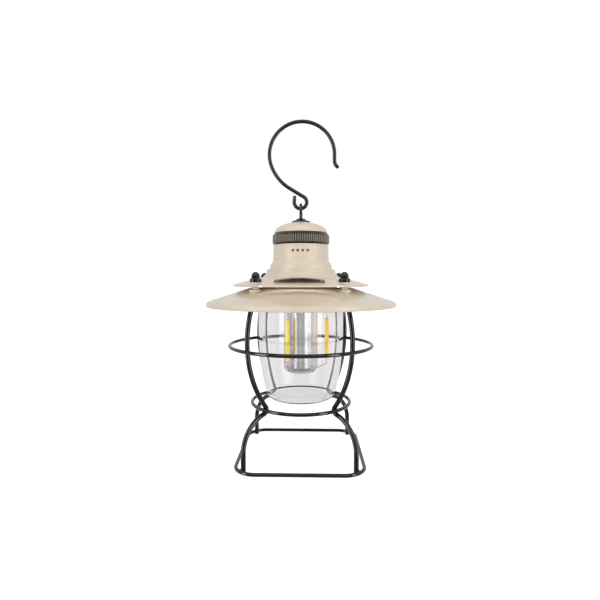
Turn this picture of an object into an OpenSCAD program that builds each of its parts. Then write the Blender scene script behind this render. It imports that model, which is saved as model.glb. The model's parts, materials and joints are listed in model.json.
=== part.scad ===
// Hanging camping lantern with a wire guard, a glass globe and a ring dimmer.
// Millimetres. Origin on the ground under the lantern's axis, +Z up, front towards -Y.

/* [Guard] */
// Diameter of the leg wire
leg_d = 4; // [3.6:0.1:4.4]
// Diameter of the ring wire
ring_d = 3; // [2.6:0.1:3.4]
// Radius at which a leg stands on the ground
foot_r = 61.8; // [60:0.2:64]
// Height at which a leg leaves the vertical
foot_z = 15; // [12:0.5:18]
// Radius of the middle of the leg's kink
kink_r = 42; // [41:0.2:43]
// Height of the leg's kink and of the narrow ring
kink_z = 45; // [43:0.5:46]
// Bend radius of the kink
kink_bend = 3.5; // [3.2:0.1:4]
// Radius of the leg at its widest
belly_r = 57.5; // [56.5:0.1:58.5]
// Height of the leg's widest point
belly_z = 100; // [97:0.5:103]
// Height of the wide ring
wide_ring_z = 94; // [90:1:98]
// Half the width of the base ring, to the wire's centre
base_half = 51; // [50:0.2:52]
// Depth by which welded wires sink into each other
weld = 0.2; // [0.1:0.05:0.3]

/* [Studs and nuts] */
// Radius on which the four studs stand
stud_r = 49; // [48:0.2:50]
// Top of the studs
stud_top = 154; // [153:0.2:154.6]
// Bend radius where a leg turns up into its stud
stud_bend = 6; // [5:0.5:7]
// Clearance around a stud or a screw
slack = 0.05; // [0.03:0.01:0.1]

/* [Shade] */
// Radius of the large shade
shade_r = 80; // [79:0.2:81]
// Bottom edge of the large shade
shade_bottom = 127.3; // [126.8:0.1:127.8]
// Thickness of the shade
shade_wall = 1.2; // [1:0.1:1.4]

/* [Housing] */
// Radius of the upper brim
brim_r = 57.5; // [57:0.1:58]
// Height of the brim's lower edge
brim_z = 144; // [143.8:0.1:144.2]
// Wall thickness of the housing
housing_wall = 1.6; // [1.4:0.1:1.8]
// Height of the top of the neck
neck_top = 179; // [178.8:0.1:179.2]
// Radius of the neck at its top
neck_r = 23.2; // [23:0.1:23.4]

/* [Dimmer and dome] */
// Largest radius of the dimmer ring
dimmer_r = 24.1; // [23.9:0.1:24.3]
// Height of the dimmer ring's body
dimmer_h = 9.4; // [9.2:0.1:9.5]
// Number of grip ribs around the dimmer ring
rib_count = 80; // [60:4:90]
// Radius of the dome
dome_r = 22.4; // [22:0.1:22.6]
// Height of the dome above its edge
dome_h = 9.4; // [9.2:0.1:9.6]

/* [Globe] */
// Outer radius of the globe's upper part
globe_r = 36.2; // [35.8:0.1:36.4]
// Wall thickness of the glass
globe_wall = 2.6; // [2.2:0.1:2.8]
// Height of the globe's bottom
globe_bottom = 48; // [47.6:0.1:48.4]

/* [Light column] */
// Outer radius of the battery column
column_r = 14.5; // [14.4:0.1:14.8]
// Lowest point of the battery column
column_bottom = 70.4; // [70:0.1:70.8]
// Corner radius at the bottom of the column
column_corner = 6; // [5:0.5:6.5]
// Wall thickness of the column
column_wall = 0.9; // [0.8:0.05:0.9]
// Radius of the circle of filaments
filament_ring_r = 22.3; // [21.8:0.1:23]
// Diameter of a filament
filament_d = 3.2; // [2.8:0.1:3.6]
// Lower end of the filaments
filament_z = 82.8; // [82:0.2:84]
// Length of a filament
filament_l = 35; // [33:0.5:36]

/* [Hook] */
// Diameter of the hook wire
hook_d = 3.2; // [3:0.1:3.3]
// Radius of the hook's large bend
hook_r = 27.5; // [27:0.1:28]
// Radius of the loop at the hook's foot
loop_r = 5.3; // [5.2:0.1:5.4]
// Height of the centre of the hook's large bend
hook_z = 255; // [254.8:0.1:255.2]
// Height of the middle of the eye
eye_z = 209.8; // [209.7:0.1:209.9]
// Diameter of the eye's wire
eye_d = 2.4; // [2.2:0.1:2.5]
// Diameter of the eye bolt's shank
shank_d = 2.8; // [2.6:0.1:3]

/* [Hidden] */

$fn = 72;
cream = [0.87, 0.81, 0.73];
black = [0.1, 0.1, 0.1];
dark_brown = [0.24, 0.18, 0.15];
steel = [0.72, 0.72, 0.72];
board_green = [0.1, 0.35, 0.2];
wire_fn = 48;
joint_swell = 0.04;
big = 200;
eps = 0.1;

leg_angles = [225, 315, 135, 45];
stud_angles = [45, 135, 225, 315];
thirds = [0, 120, 240];

// Radius of an arc that meets a vertical tangent, `across` away, and passes a bend of radius rho
// whose centre is `across` nearer the axis and `up` away in height.
function arc_past_bend(across, up, rho) = (across * across + up * up - rho * rho) / (2 * (across + rho));

// Points of an arc, both ends included.
function arc(cx, cy, r, from, to, steps) =
    [for (i = [0:steps]) let (a = from + (to - from) * i / steps) [cx + r * cos(a), cy + r * sin(a)]];

// Leg geometry in its own radial plane.
foot_bend = arc_past_bend(foot_r - kink_r, kink_z - foot_z, kink_bend);
belly_bend = arc_past_bend(belly_r - kink_r, belly_z - kink_z, kink_bend);
foot_turn = atan2(kink_z - foot_z, kink_r - foot_r + foot_bend);
belly_start = atan2(kink_z - belly_z, kink_r - belly_r + belly_bend);
kink_turn = foot_turn - belly_start;
stud_turn = acos((stud_r + stud_bend - belly_r + belly_bend) / (belly_bend + stud_bend));
stud_start_z = belly_z + (belly_bend + stud_bend) * sin(stud_turn);
leg_path = [
    [foot_z, 0], [foot_bend, foot_turn], [kink_bend, -kink_turn],
    [belly_bend, stud_turn - belly_start], [stud_bend, -stud_turn], [stud_top - stud_start_z, 0]
];
leg_r_at_wide_ring = belly_r - belly_bend + sqrt(pow(belly_bend, 2) - pow(wide_ring_z - belly_z, 2));
wide_ring_r = leg_r_at_wide_ring + (leg_d + ring_d) / 2 - weld;
narrow_ring_r = kink_r - weld;
base_corner_out = foot_r + (leg_d + ring_d) / 2 - weld;
base_corner = round(100 * (base_half * sqrt(2) - base_corner_out) / (sqrt(2) - 1)) / 100;
stud_hole_r = leg_d / 2 + slack;

// Stack of seats along a stud.
shade_seat_low = 139.4;
shade_seat_high = 141.9;
brim_seat_low = 145.9;
brim_seat_high = 147.6;
collar_h = 3.3;
collar_r = 4.55;
nut_dome_r = 3.1;
nut_hex_r = 3.6;
nut_hex_h = 2.6;
nut_top = 155.8;
seat_r = 5;

// Inner land of the shade, where the chassis clamps it.
shade_hole_r = 38.2;
shade_land_z = 142.9;
shade_land_r = 43;
chassis_top = 146;
chassis_flange_top = shade_land_z - shade_wall;
chassis_bottom = chassis_flange_top - 2;
chassis_boss_r = 29.5;
chassis_screw_angles = [60, 180, 300];
screw_r = 1.2;
cable_hole_r = 12;
boss_r = 3.2;

// Globe, gasket and retainer under the chassis.
gasket_h = 1.2;
lip_top = chassis_bottom - gasket_h;
lip_h = 2.1;
lip_r = 38.6;
retainer_bottom = 134.8;
retainer_screw_r = 41;
globe_belly_z = 106;
globe_low_z = 54;
globe_low_r = 30;
globe_bend = (pow(globe_r - globe_low_r, 2) + pow(globe_belly_z - globe_low_z, 2))
    / (2 * (globe_r - globe_low_r));

// Light column.
column_flange_h = 1.5;
column_flange_r = 20;
cell_r = 13.2;
cell_l = 65.2;
cell_top = chassis_bottom - 0.2;
reflector_top = 137.4;
reflector_h = 1.2;
reflector_r = globe_r - globe_wall - 0.3;
led_board_h = 1.6;
lead_d = 0.6;
filament_angles = [2, 122, 242];
contact_r = 8.4;
column_screw_r = 17.3;
column_screw_angles = [75, 195, 315];
reflector_screw_r = 27;
reflector_screw_angles = [30, 150, 270];

// Flare, collar, neck and deck of the housing, and the mast that carries the dome.
flare_foot = [42.8, 149.5];
flare_centre = [36.6, 158];
flare_bend = 7.45;
collar_foot_r = 26.6;
collar_z = 158.2;
neck_z = 165;
neck_taper = 0.6;
deck_h = 1.8;
mast_r = 8;
mast_bore = 5.5;
mast_top = 193.4;
board_top = 168.4;
board_h = 1.4;
board_r = 20;
board_screw_r = 16.5;
board_screw_angles = [0, 180];
indicator_z = 173.3;
indicator_r = 1.1;
light_pipe_y = -17.6;
usb_mouth_y = 22.4;
indicator_x = [-6, -2, 2, 6];
usb_z = board_top + 1.7;
usb_w = 9;
usb_h = 3.2;
port_w = 10.8;
port_h = 5;
hinge_y = 25.2;
hinge_z = 165.6;
hinge_barrel_l = 6;
hinge_pin_r = 0.6;
lug_r = 1.3;
lug_w = 1.6;

// Dimmer ring and dome.
dimmer_bottom = neck_top + 0.3;
dimmer_top = dimmer_bottom + dimmer_h;
dimmer_web_z = neck_top + 5.4;
sensor_h = 4.6;
dome_bottom = dimmer_top + 0.3;
dome_crown = dome_bottom + dome_h - 0.6;
flange_r = 8.3;
flange_tier_r = 4.3;
eye_r = 3.3;
shank_bottom = 192.5;

// Hook: a large bend, a wider neck bend, a straight, and the loop that hangs in the eye.
hook_x = 0.85;
hook_side_turn = 110;
hook_neck_turn = 39;
loop_x = -0.35;
loop_turn = 243;
loop_end_l = 5.4;
tip_drop = 5.5;
tip_bend = 6;
tip_turn = 52;
tip_straight_l = 1.6;
tip_end = [hook_x + hook_r + tip_bend * (1 - cos(tip_turn)), hook_z - tip_drop - tip_bend * sin(tip_turn)]
    + tip_straight_l * [sin(tip_turn), -cos(tip_turn)];
neck_slope = 180 - hook_side_turn - hook_neck_turn;
neck_along = [cos(neck_slope), -sin(neck_slope)];
neck_normal = [sin(neck_slope), cos(neck_slope)];
side_out = [cos(90 + hook_side_turn), sin(90 + hook_side_turn)];
side_end = [hook_x, hook_z] + hook_r * side_out;
loop_centre = [loop_x, eye_z + loop_r];
neck_bend = ((side_end - loop_centre) * neck_normal - loop_r) / (1 + side_out * neck_normal);
neck_end = side_end - neck_bend * (side_out + neck_normal);
neck_l = (loop_centre - neck_end) * neck_along;

// Nameplate and its two rivets.
nameplate_r = 51.8;
nameplate_t = 0.9;
nameplate_half = 19.4;
nameplate_top = 151.2;
nameplate_bottom = 147.3;
nameplate_arch = 96;
rivet_angles = [270 - 18.7, 270 + 18.7];
rivet_z = 149;
rivet_r = 0.6;
rivet_root_r = 47.6;
pad_r = 46;

module ring_wire(r, d, z) {
    translate([0, 0, z]) rotate_extrude() translate([r, 0]) circle(d = d, $fn = wire_fn);
}

module at_angles(angles, r, z = 0) {
    for (a = angles) rotate(a) translate([r, 0, z]) children();
}

// Bent wire in the XY plane, from the origin towards +X. A segment is [length, 0] for a straight,
// or [bend radius, angle] for an arc, left when the angle is positive. A ball joins each two.
module wire(path, d, i = 0) {
    if (i < len(path)) {
        if (i > 0) sphere(d = d + joint_swell, $fn = wire_fn);
        size = path[i][0];
        turn = path[i][1];
        if (turn == 0) {
            rotate([0, 90, 0]) cylinder(h = size, d = d, $fn = wire_fn);
            translate([size, 0, 0]) wire(path, d, i + 1);
        } else {
            side = sign(turn);
            translate([0, side * size, 0]) {
                rotate(turn > 0 ? -90 : 90 + turn)
                    rotate_extrude(angle = abs(turn)) translate([size, 0]) circle(d = d, $fn = wire_fn);
                rotate(turn) translate([0, -side * size, 0]) wire(path, d, i + 1);
            }
        }
    }
}

// The same path as stations [[x, y], heading] along the wire.
function stations(path, i = 0, at = [0, 0], heading = 0) =
    i == len(path) ? [[at, heading]] : let (
        size = path[i][0],
        turn = path[i][1],
        steps = max(1, ceil(abs(turn) / 8)),
        side = sign(turn),
        centre = at + side * size * [-sin(heading), cos(heading)],
        end = turn == 0 ? at + size * [cos(heading), sin(heading)]
            : centre + side * size * [sin(heading + turn), -cos(heading + turn)],
        inner = [for (k = [1:1:steps - 1]) let (h = heading + turn * k / steps)
            [centre + side * size * [sin(h), -cos(h)], h]]
    ) concat([[at, heading]], inner, stations(path, i + 1, end, heading + turn));

// One tube through all the stations of a path.
module swept_wire(path, d, sides = 16) {
    along = stations(path);
    last = len(along) - 1;
    points = [for (s = along, j = [0:sides - 1]) let (a = 360 * j / sides, across = d / 2 * cos(a))
        [s[0][0] - across * sin(s[1]), s[0][1] + across * cos(s[1]), d / 2 * sin(a)]];
    walls = [for (k = [0:last - 1], j = [0:sides - 1]) let (next = (j + 1) % sides)
        [sides * k + next, sides * k + j, sides * (k + 1) + j, sides * (k + 1) + next]];
    caps = [[for (j = [0:sides - 1]) j], [for (j = [sides - 1:-1:0]) sides * last + j]];
    polyhedron(points, concat(walls, caps));
}

module leg(angle) {
    color(black) rotate(angle) translate([foot_r, 0, 0]) rotate([90, 0, 0]) rotate(90)
        wire(leg_path, leg_d);
}

// Ring that lies on the ground around the feet: a square with round corners.
module base_ring() {
    inset = base_half - base_corner;
    color(black) for (side = [0:3]) rotate(90 * side) translate([0, 0, ring_d / 2]) {
        translate([-inset, -base_half, 0]) rotate([0, 90, 0])
            cylinder(h = 2 * inset, d = ring_d, $fn = wire_fn);
        translate([inset, -inset, 0]) rotate(-90) rotate_extrude(angle = 90)
            translate([base_corner, 0]) circle(d = ring_d, $fn = wire_fn);
    }
}

module narrow_ring() {
    color(black) ring_wire(narrow_ring_r, ring_d, kink_z);
}

module wide_ring() {
    color(black) ring_wire(wide_ring_r, ring_d, wide_ring_z);
}

module stud_ring_parts(r, low, high) {
    at_angles(stud_angles, stud_r, low) difference() {
        cylinder(r = r, h = high - low);
        translate([0, 0, -eps]) cylinder(r = stud_hole_r, h = high - low + 2 * eps);
    }
}

module shade_washers() {
    color(black) stud_ring_parts(4.5, shade_seat_low - 0.8, shade_seat_low);
}

module spacers() {
    color(cream) stud_ring_parts(2.9, shade_seat_high, brim_seat_low);
}

module nut_collars() {
    color(black) at_angles(stud_angles, stud_r, brim_seat_high) rotate_extrude() polygon([
        [stud_hole_r, 0], [collar_r - 0.25, 0], [collar_r, 0.4], [collar_r, 2.3], [collar_r - 0.55, 3],
        [collar_r - 1.15, collar_h], [stud_hole_r, collar_h]
    ]);
}

module cap_nuts() {
    base = brim_seat_high + collar_h;
    color(black) at_angles(stud_angles, stud_r, base) difference() {
        union() {
            cylinder(r = nut_hex_r, h = nut_hex_h, $fn = 6);
            translate([0, 0, nut_top - base - nut_dome_r]) intersection() {
                sphere(r = nut_dome_r);
                cylinder(r = nut_dome_r + eps, h = nut_dome_r + eps);
            }
        }
        translate([0, 0, -eps]) cylinder(r = stud_hole_r, h = stud_top - base + 0.2 + eps);
    }
}

// Cross-section of the large shade, from the inner land out to the rolled edge and back.
function shade_section() = let (
    slope = 18.2,
    roll = 3,
    roll_x = shade_r - roll,
    roll_z = shade_bottom + 1.5,
    land_x = shade_land_r + 2.6
) concat(
    [[shade_hole_r, shade_land_z], [shade_land_r, shade_land_z], [land_x, shade_land_z - 0.8]],
    arc(roll_x, roll_z, roll, 90 - slope, 0, 8),
    arc(shade_r - 0.6, shade_bottom + 0.6, 0.6, 0, -180, 6),
    arc(roll_x, roll_z, roll - shade_wall, 0, 90 - slope, 6),
    [[land_x, shade_land_z - 0.8 - shade_wall], [shade_land_r, shade_land_z - shade_wall],
     [shade_hole_r, shade_land_z - shade_wall]]
);

module lower_shade() {
    color(cream) difference() {
        union() {
            rotate_extrude() polygon(shade_section());
            at_angles(stud_angles, stud_r, shade_seat_low)
                cylinder(r = seat_r, h = shade_seat_high - shade_seat_low);
        }
        at_angles(stud_angles, stud_r, shade_seat_low - eps) cylinder(r = stud_hole_r, h = 4);
        at_angles(stud_angles, stud_r, shade_seat_low - 3) cylinder(r = seat_r, h = 3);
    }
}

// Outside of the housing as one solid of revolution: brim, flare, collar and neck.
function housing_outline() = concat(
    [[0, brim_z], [brim_r - 0.4, brim_z]],
    arc(brim_r - 0.7, brim_z + 0.8, 0.8, -60, 60, 4),
    [flare_foot],
    arc(flare_centre[0], flare_centre[1], flare_bend, 270, 180, 10),
    [[collar_foot_r, collar_z], [collar_foot_r - 0.6, 162.4], [neck_r + neck_taper, neck_z],
     [neck_r, neck_top - 0.5], [neck_r - 0.5, neck_top], [0, neck_top]]
);

// Space inside the housing, open at the bottom.
function housing_void() = concat(
    [[0, brim_z - 4], [brim_r - 1, brim_z - 4], [brim_r - 1, brim_z + 0.2], flare_foot - [0, housing_wall]],
    arc(flare_centre[0], flare_centre[1], flare_bend + housing_wall, 270, 190, 8),
    [[collar_foot_r - housing_wall, collar_z - housing_wall], [collar_foot_r - housing_wall - 0.6, 161.8],
     [neck_r + neck_taper - housing_wall, neck_z - 0.4], [neck_r - housing_wall, neck_top - deck_h],
     [0, neck_top - deck_h]]
);

module screw_holes(angles, r, low, depth, hole) {
    at_angles(angles, r, low) cylinder(r = hole, h = depth, $fn = 32);
}

// Two lugs on the back of the neck that hold the hinge pin of the port cover.
module hinge_lugs() {
    root_y = 22.4;
    for (x = [-hinge_barrel_l / 2 - lug_w - 0.2, hinge_barrel_l / 2 + 0.2]) {
        translate([x, root_y, hinge_z - 2 * lug_r]) cube([lug_w, hinge_y - root_y, 3 * lug_r]);
        translate([x, hinge_y, hinge_z]) rotate([0, 90, 0]) cylinder(r = lug_r, h = lug_w, $fn = 32);
    }
}

module housing() {
    color(cream) difference() {
        union() {
            difference() {
                rotate_extrude() polygon(housing_outline());
                difference() {
                    rotate_extrude() polygon(housing_void());
                    at_angles(chassis_screw_angles, chassis_boss_r, chassis_top) cylinder(r = boss_r, h = 30);
                    at_angles(board_screw_angles, board_screw_r, board_top) cylinder(r = 2.2, h = 30);
                    at_angles(stud_angles, stud_r, brim_seat_low) cylinder(r = seat_r, h = 10);
                }
            }
            translate([0, 0, neck_top - eps]) cylinder(r = mast_r, h = mast_top - neck_top + eps);
            hinge_lugs();
            at_angles(rivet_angles, pad_r, brim_z + 3.3)
                translate([0, -1.5, 0]) cube([nameplate_r - nameplate_t - pad_r, 3, rivet_z - brim_z - 2]);
        }
        translate([0, 0, neck_top - deck_h - eps]) cylinder(r = mast_bore, h = big);
        at_angles(stud_angles, stud_r, brim_seat_low - eps) cylinder(r = stud_hole_r, h = 4);
        at_angles(stud_angles, stud_r, brim_seat_high) cylinder(r = seat_r, h = 8);
        at_angles(stud_angles, stud_r, brim_seat_low - 3) cylinder(r = seat_r, h = 3);
        screw_holes(chassis_screw_angles, chassis_boss_r, chassis_top - eps, 4.6, screw_r);
        screw_holes(board_screw_angles, board_screw_r, board_top - eps, 5, 0.8);
        for (x = indicator_x)
            translate([x, -20, indicator_z]) rotate([90, 0, 0]) cylinder(r = indicator_r, h = 6, $fn = 32);
        translate([-port_w / 2, 19, usb_z - port_h / 2]) cube([port_w, 8, port_h]);
        translate([-big / 2, hinge_y, hinge_z]) rotate([0, 90, 0])
            cylinder(r = hinge_pin_r, h = big, $fn = 32);
        at_angles(rivet_angles, rivet_root_r - eps, rivet_z) rotate([0, 90, 0])
            cylinder(r = rivet_r, h = 4, $fn = 32);
    }
}

// Arched blank plate that stands on the brim.
module nameplate() {
    end_r = 1.1;
    side = nameplate_half - end_r;
    end_z = nameplate_bottom + end_r;
    color(dark_brown) difference() {
        intersection() {
            translate([0, 0, nameplate_bottom - 1]) difference() {
                cylinder(r = nameplate_r, h = 6, $fn = 144);
                translate([0, 0, -eps]) cylinder(r = nameplate_r - nameplate_t, h = 7, $fn = 144);
            }
            rotate([90, 0, 0]) linear_extrude(nameplate_r + 1) intersection() {
                translate([0, nameplate_top - nameplate_arch]) circle(r = nameplate_arch, $fn = 360);
                polygon(concat(
                    arc(side, end_z, end_r, -90, 90, 8),
                    [[side - end_r, nameplate_top + 1], [end_r - side, nameplate_top + 1]],
                    arc(-side, end_z, end_r, 90, 270, 8)
                ));
            }
        }
        at_angles(rivet_angles, rivet_root_r, rivet_z) rotate([0, 90, 0])
            cylinder(r = rivet_r + slack, h = 8, $fn = 32);
    }
}

module nameplate_rivets() {
    head_r = 1.2;
    shank_l = nameplate_r - rivet_root_r;
    color(steel) at_angles(rivet_angles, rivet_root_r, rivet_z) rotate([0, 90, 0]) {
        cylinder(r = rivet_r - slack, h = shank_l + eps, $fn = 32);
        translate([0, 0, shank_l]) cylinder(r1 = head_r, r2 = 0.7, h = 0.6, $fn = 32);
    }
}

// Moulded plate that carries the globe, the column and the light board under the shade.
module chassis() {
    web_top = chassis_flange_top + 1.6;
    color(black) difference() {
        union() {
            rotate_extrude() polygon([
                [0, chassis_bottom], [shade_land_r, chassis_bottom], [shade_land_r, chassis_flange_top],
                [shade_hole_r - 0.2, chassis_flange_top], [shade_hole_r - 0.2, chassis_top],
                [shade_hole_r - 2.6, chassis_top], [shade_hole_r - 2.6, web_top], [0, web_top]
            ]);
            at_angles(chassis_screw_angles, chassis_boss_r, chassis_flange_top)
                cylinder(r = boss_r, h = chassis_top - chassis_flange_top);
        }
        translate([0, 0, chassis_bottom - eps]) cylinder(r = contact_r + 0.1, h = 0.8 + eps);
        screw_holes(chassis_screw_angles, chassis_boss_r, chassis_bottom - eps, 10, screw_r + slack);
        screw_holes(chassis_screw_angles, chassis_boss_r, chassis_bottom - eps, 2, 2.6);
        screw_holes(board_screw_angles, cable_hole_r, chassis_bottom - eps, 10, 1.6);
        screw_holes(thirds, retainer_screw_r, chassis_bottom - eps, 2 + 2 * eps, screw_r);
        screw_holes(column_screw_angles, column_screw_r, chassis_bottom - eps, 2.5, 0.8);
        screw_holes(reflector_screw_angles, reflector_screw_r, chassis_bottom - eps, 2.5, 1);
    }
}

// Pan-head screws that point up: the head's underside is at `seat`.
module screws_up(angles, r, seat, head, head_h, shank, length) {
    at_angles(angles, r, seat) {
        translate([0, 0, -head_h]) difference() {
            cylinder(r = head, h = head_h, $fn = 32);
            for (turn = [0, 90]) rotate(turn) translate([-head * 0.6, -0.2, -eps])
                cube([head * 1.2, 0.4, head_h * 0.5 + eps]);
        }
        translate([0, 0, -eps]) cylinder(r = shank, h = length + eps, $fn = 32);
    }
}

module chassis_screws() {
    color(steel) screws_up(chassis_screw_angles, chassis_boss_r, chassis_bottom + 1.9, 2.4, 1.7,
        screw_r - slack, 8);
}

// Side of the globe and its bottom fillet, moved inwards by `inset`.
function globe_side(inset) = let (
    a = asin((globe_belly_z - globe_low_z) / globe_bend),
    fillet = (globe_low_z - globe_bottom) / (1 - sin(a))
) concat(
    arc(globe_r - globe_bend, globe_belly_z, globe_bend - inset, 0, -a, 14),
    arc(globe_low_r - fillet * cos(a), globe_bottom + fillet, fillet - inset, -a, -90, 8)
);

function reversed(points) = [for (i = [len(points) - 1:-1:0]) points[i]];

module globe() {
    lip_low = lip_top - lip_h;
    color([0.86, 0.88, 0.88, 0.35]) rotate_extrude($fn = 144) polygon(concat(
        [[globe_r - globe_wall, lip_top], [lip_r - 0.7, lip_top]],
        arc(lip_r - 0.7, lip_top - 0.7, 0.7, 60, 0, 3),
        arc(lip_r - 0.7, lip_low + 0.7, 0.7, 0, -90, 4),
        [[globe_r, lip_low]],
        globe_side(0),
        [[0, globe_bottom], [0, globe_bottom + globe_wall]],
        reversed(globe_side(globe_wall))
    ));
}

module globe_gasket() {
    color(black) rotate_extrude() polygon([
        [globe_r - 2, lip_top], [lip_r - 0.2, lip_top], [lip_r - 0.2, chassis_bottom],
        [globe_r - 2, chassis_bottom]
    ]);
}

module globe_retainer() {
    lip_low = lip_top - lip_h;
    color(black) difference() {
        rotate_extrude() polygon([
            [globe_r + 0.3, retainer_bottom], [shade_land_r - 0.6, retainer_bottom],
            [shade_land_r, retainer_bottom + 0.6], [shade_land_r, chassis_bottom],
            [lip_r + 0.3, chassis_bottom], [lip_r + 0.3, lip_low], [globe_r + 0.3, lip_low]
        ]);
        screw_holes(thirds, retainer_screw_r, retainer_bottom - eps, 6, screw_r + slack);
    }
}

module retainer_screws() {
    color(steel) screws_up(thirds, retainer_screw_r, retainer_bottom, 1.9, 1.1, screw_r - slack, 6.6);
}

// Drawn can with a rounded bottom that holds the cell.
module column_tube() {
    bend_r = column_r - column_corner;
    bend_z = column_bottom + column_corner;
    color(steel) difference() {
        rotate_extrude() polygon(concat(
            [[column_r - column_wall, chassis_bottom], [column_flange_r, chassis_bottom],
             [column_flange_r, chassis_bottom - column_flange_h],
             [column_r, chassis_bottom - column_flange_h]],
            arc(bend_r, bend_z, column_corner, 0, -90, 10),
            [[0, column_bottom], [0, column_bottom + column_wall]],
            arc(bend_r, bend_z, column_corner - column_wall, -90, 0, 10)
        ));
        screw_holes(column_screw_angles, column_screw_r, chassis_bottom - 2, 3, 0.8 + slack);
    }
}

module column_screws() {
    color(steel) screws_up(column_screw_angles, column_screw_r, chassis_bottom - column_flange_h, 1.4, 0.7,
        0.8 - slack, 3.4);
}

module battery_cell() {
    bottom = cell_top - cell_l;
    color("steelblue") {
        translate([0, 0, bottom]) cylinder(r = cell_r, h = cell_l - 0.8);
        translate([0, 0, cell_top - 0.8 - eps]) cylinder(r = 3.5, h = 0.8 + eps);
    }
}

// Conical spring washer under the cell.
module contact_spring() {
    low = column_bottom + column_wall;
    high = cell_top - cell_l;
    color(steel) rotate_extrude() polygon([
        [8, low], [8.4, low], [8.4, low + 0.4], [4.4, high], [3.4, high], [3.4, high - 0.4], [4.2, high - 0.4]
    ]);
}

module positive_contact() {
    color("gold") {
        translate([0, 0, chassis_bottom + 0.2]) cylinder(r = contact_r, h = 0.6);
        translate([0, 0, cell_top]) cylinder(r = 2.6, h = 0.2 + chassis_bottom - cell_top + eps);
    }
}

module led_board() {
    color("white") translate([0, 0, chassis_bottom - led_board_h]) difference() {
        cylinder(r = reflector_r, h = led_board_h);
        translate([0, 0, -eps]) cylinder(r = column_flange_r + 0.4, h = led_board_h + 2 * eps);
        screw_holes(reflector_screw_angles, reflector_screw_r, -eps, led_board_h + 2 * eps, 1 + slack);
    }
}

module reflector_plate() {
    boss_h = chassis_bottom - led_board_h - reflector_top;
    color("whitesmoke") translate([0, 0, reflector_top - reflector_h]) difference() {
        union() {
            cylinder(r = reflector_r, h = reflector_h);
            at_angles(reflector_screw_angles, reflector_screw_r, reflector_h) cylinder(r = 2.2, h = boss_h);
        }
        translate([0, 0, -eps]) cylinder(r = column_r + 0.3, h = reflector_h + 2 * eps);
        screw_holes(reflector_screw_angles, reflector_screw_r, -eps, 4, 1 + slack);
        screw_holes(filament_angles, filament_ring_r, -eps, 4, 0.9);
    }
}

module reflector_screws() {
    color(steel) screws_up(reflector_screw_angles, reflector_screw_r, reflector_top - reflector_h, 1.8, 0.9,
        1 - slack, 5.6);
}

module filaments() {
    r = filament_d / 2;
    color([1, 0.85, 0.3]) at_angles(filament_angles, filament_ring_r, filament_z + r) {
        cylinder(r = r, h = filament_l - filament_d, $fn = wire_fn);
        sphere(r = r, $fn = wire_fn);
        translate([0, 0, filament_l - filament_d]) sphere(r = r, $fn = wire_fn);
    }
}

// A straight lead above each filament, and a cranked one below that ends on the column.
module filament_leads() {
    board_low = chassis_bottom - led_board_h;
    sunk = 0.4;
    low = filament_z + sunk;
    high = filament_z + filament_l - sunk;
    elbow_z = filament_z - 5.2;
    reach = filament_ring_r - column_r + 0.4;
    drop = 3.6;
    color(steel) at_angles(filament_angles, filament_ring_r) {
        translate([0, 0, high]) cylinder(d = lead_d, h = board_low - high, $fn = 24);
        translate([0, 0, elbow_z]) {
            cylinder(d = lead_d, h = low - elbow_z, $fn = 24);
            sphere(d = lead_d + joint_swell, $fn = 24);
            rotate([0, 180 + atan2(reach, drop), 0]) cylinder(d = lead_d, h = norm([reach, drop]), $fn = 24);
        }
    }
}

module driver_board() {
    color(board_green) translate([0, 0, board_top - board_h]) difference() {
        cylinder(r = board_r, h = board_h);
        screw_holes(board_screw_angles, board_screw_r, -eps, board_h + 2 * eps, 0.8 + slack);
    }
}

// Indicator lights, inductor, capacitor and controller chip on the driver board.
module board_parts() {
    color([0.15, 0.15, 0.16]) translate([0, 0, board_top]) {
        for (x = indicator_x) translate([x - 0.8, light_pipe_y - 0.6, 0]) cube([1.6, 1.2, 0.6]);
        translate([-8, 4, 0]) cylinder(r = 3.6, h = 3.4);
        translate([9, 5, 0]) cylinder(r = 2.5, h = 6);
        translate([-3, -6, 0]) cube([6, 6, 1.1]);
    }
}

module board_screws() {
    color(steel) screws_up(board_screw_angles, board_screw_r, board_top - board_h, 1.5, 0.9,
        0.8 - slack, 5.4);
}

// Comb of four bent light pipes from the board's lights to the dots in the neck.
module indicator_light_pipes() {
    neck_at_dots = neck_r + neck_taper * (neck_top - 0.5 - indicator_z) / (neck_top - 0.5 - neck_z);
    pipe_r = indicator_r - slack;
    foot = board_top + 0.7;
    color(dark_brown) {
        for (x = indicator_x) translate([x, light_pipe_y, 0]) {
            reach = sqrt(pow(neck_at_dots, 2) - x * x) + light_pipe_y + 0.1;
            translate([0, 1.2, indicator_z]) rotate([90, 0, 0])
                cylinder(r = pipe_r, h = reach + 1.2, $fn = wire_fn);
            translate([0, 0, foot]) cylinder(r = 0.9, h = indicator_z - foot, $fn = wire_fn);
        }
        translate([indicator_x[0], light_pipe_y - 0.6, indicator_z - 0.6])
            cube([indicator_x[3] - indicator_x[0], 1.2, 1.2]);
    }
}

// Flat-sided tube with round ends, along +Y from y = 0.
module stadium_bar(width, height, length) {
    rotate([-90, 0, 0]) linear_extrude(length) {
        square([width - height, height], center = true);
        for (side = [-1, 1]) translate([side * (width - height) / 2, 0]) circle(d = height, $fn = 32);
    }
}

module usb_socket() {
    depth = 7.3;
    color(steel) translate([0, usb_mouth_y - depth, board_top + usb_h / 2]) {
        difference() {
            stadium_bar(usb_w, usb_h, depth);
            translate([0, 1, 0]) stadium_bar(usb_w - 0.7, usb_h - 0.7, depth);
        }
        translate([-3.3, 0.8, -0.35]) cube([6.6, depth - 1.4, 0.7]);
    }
}

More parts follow.
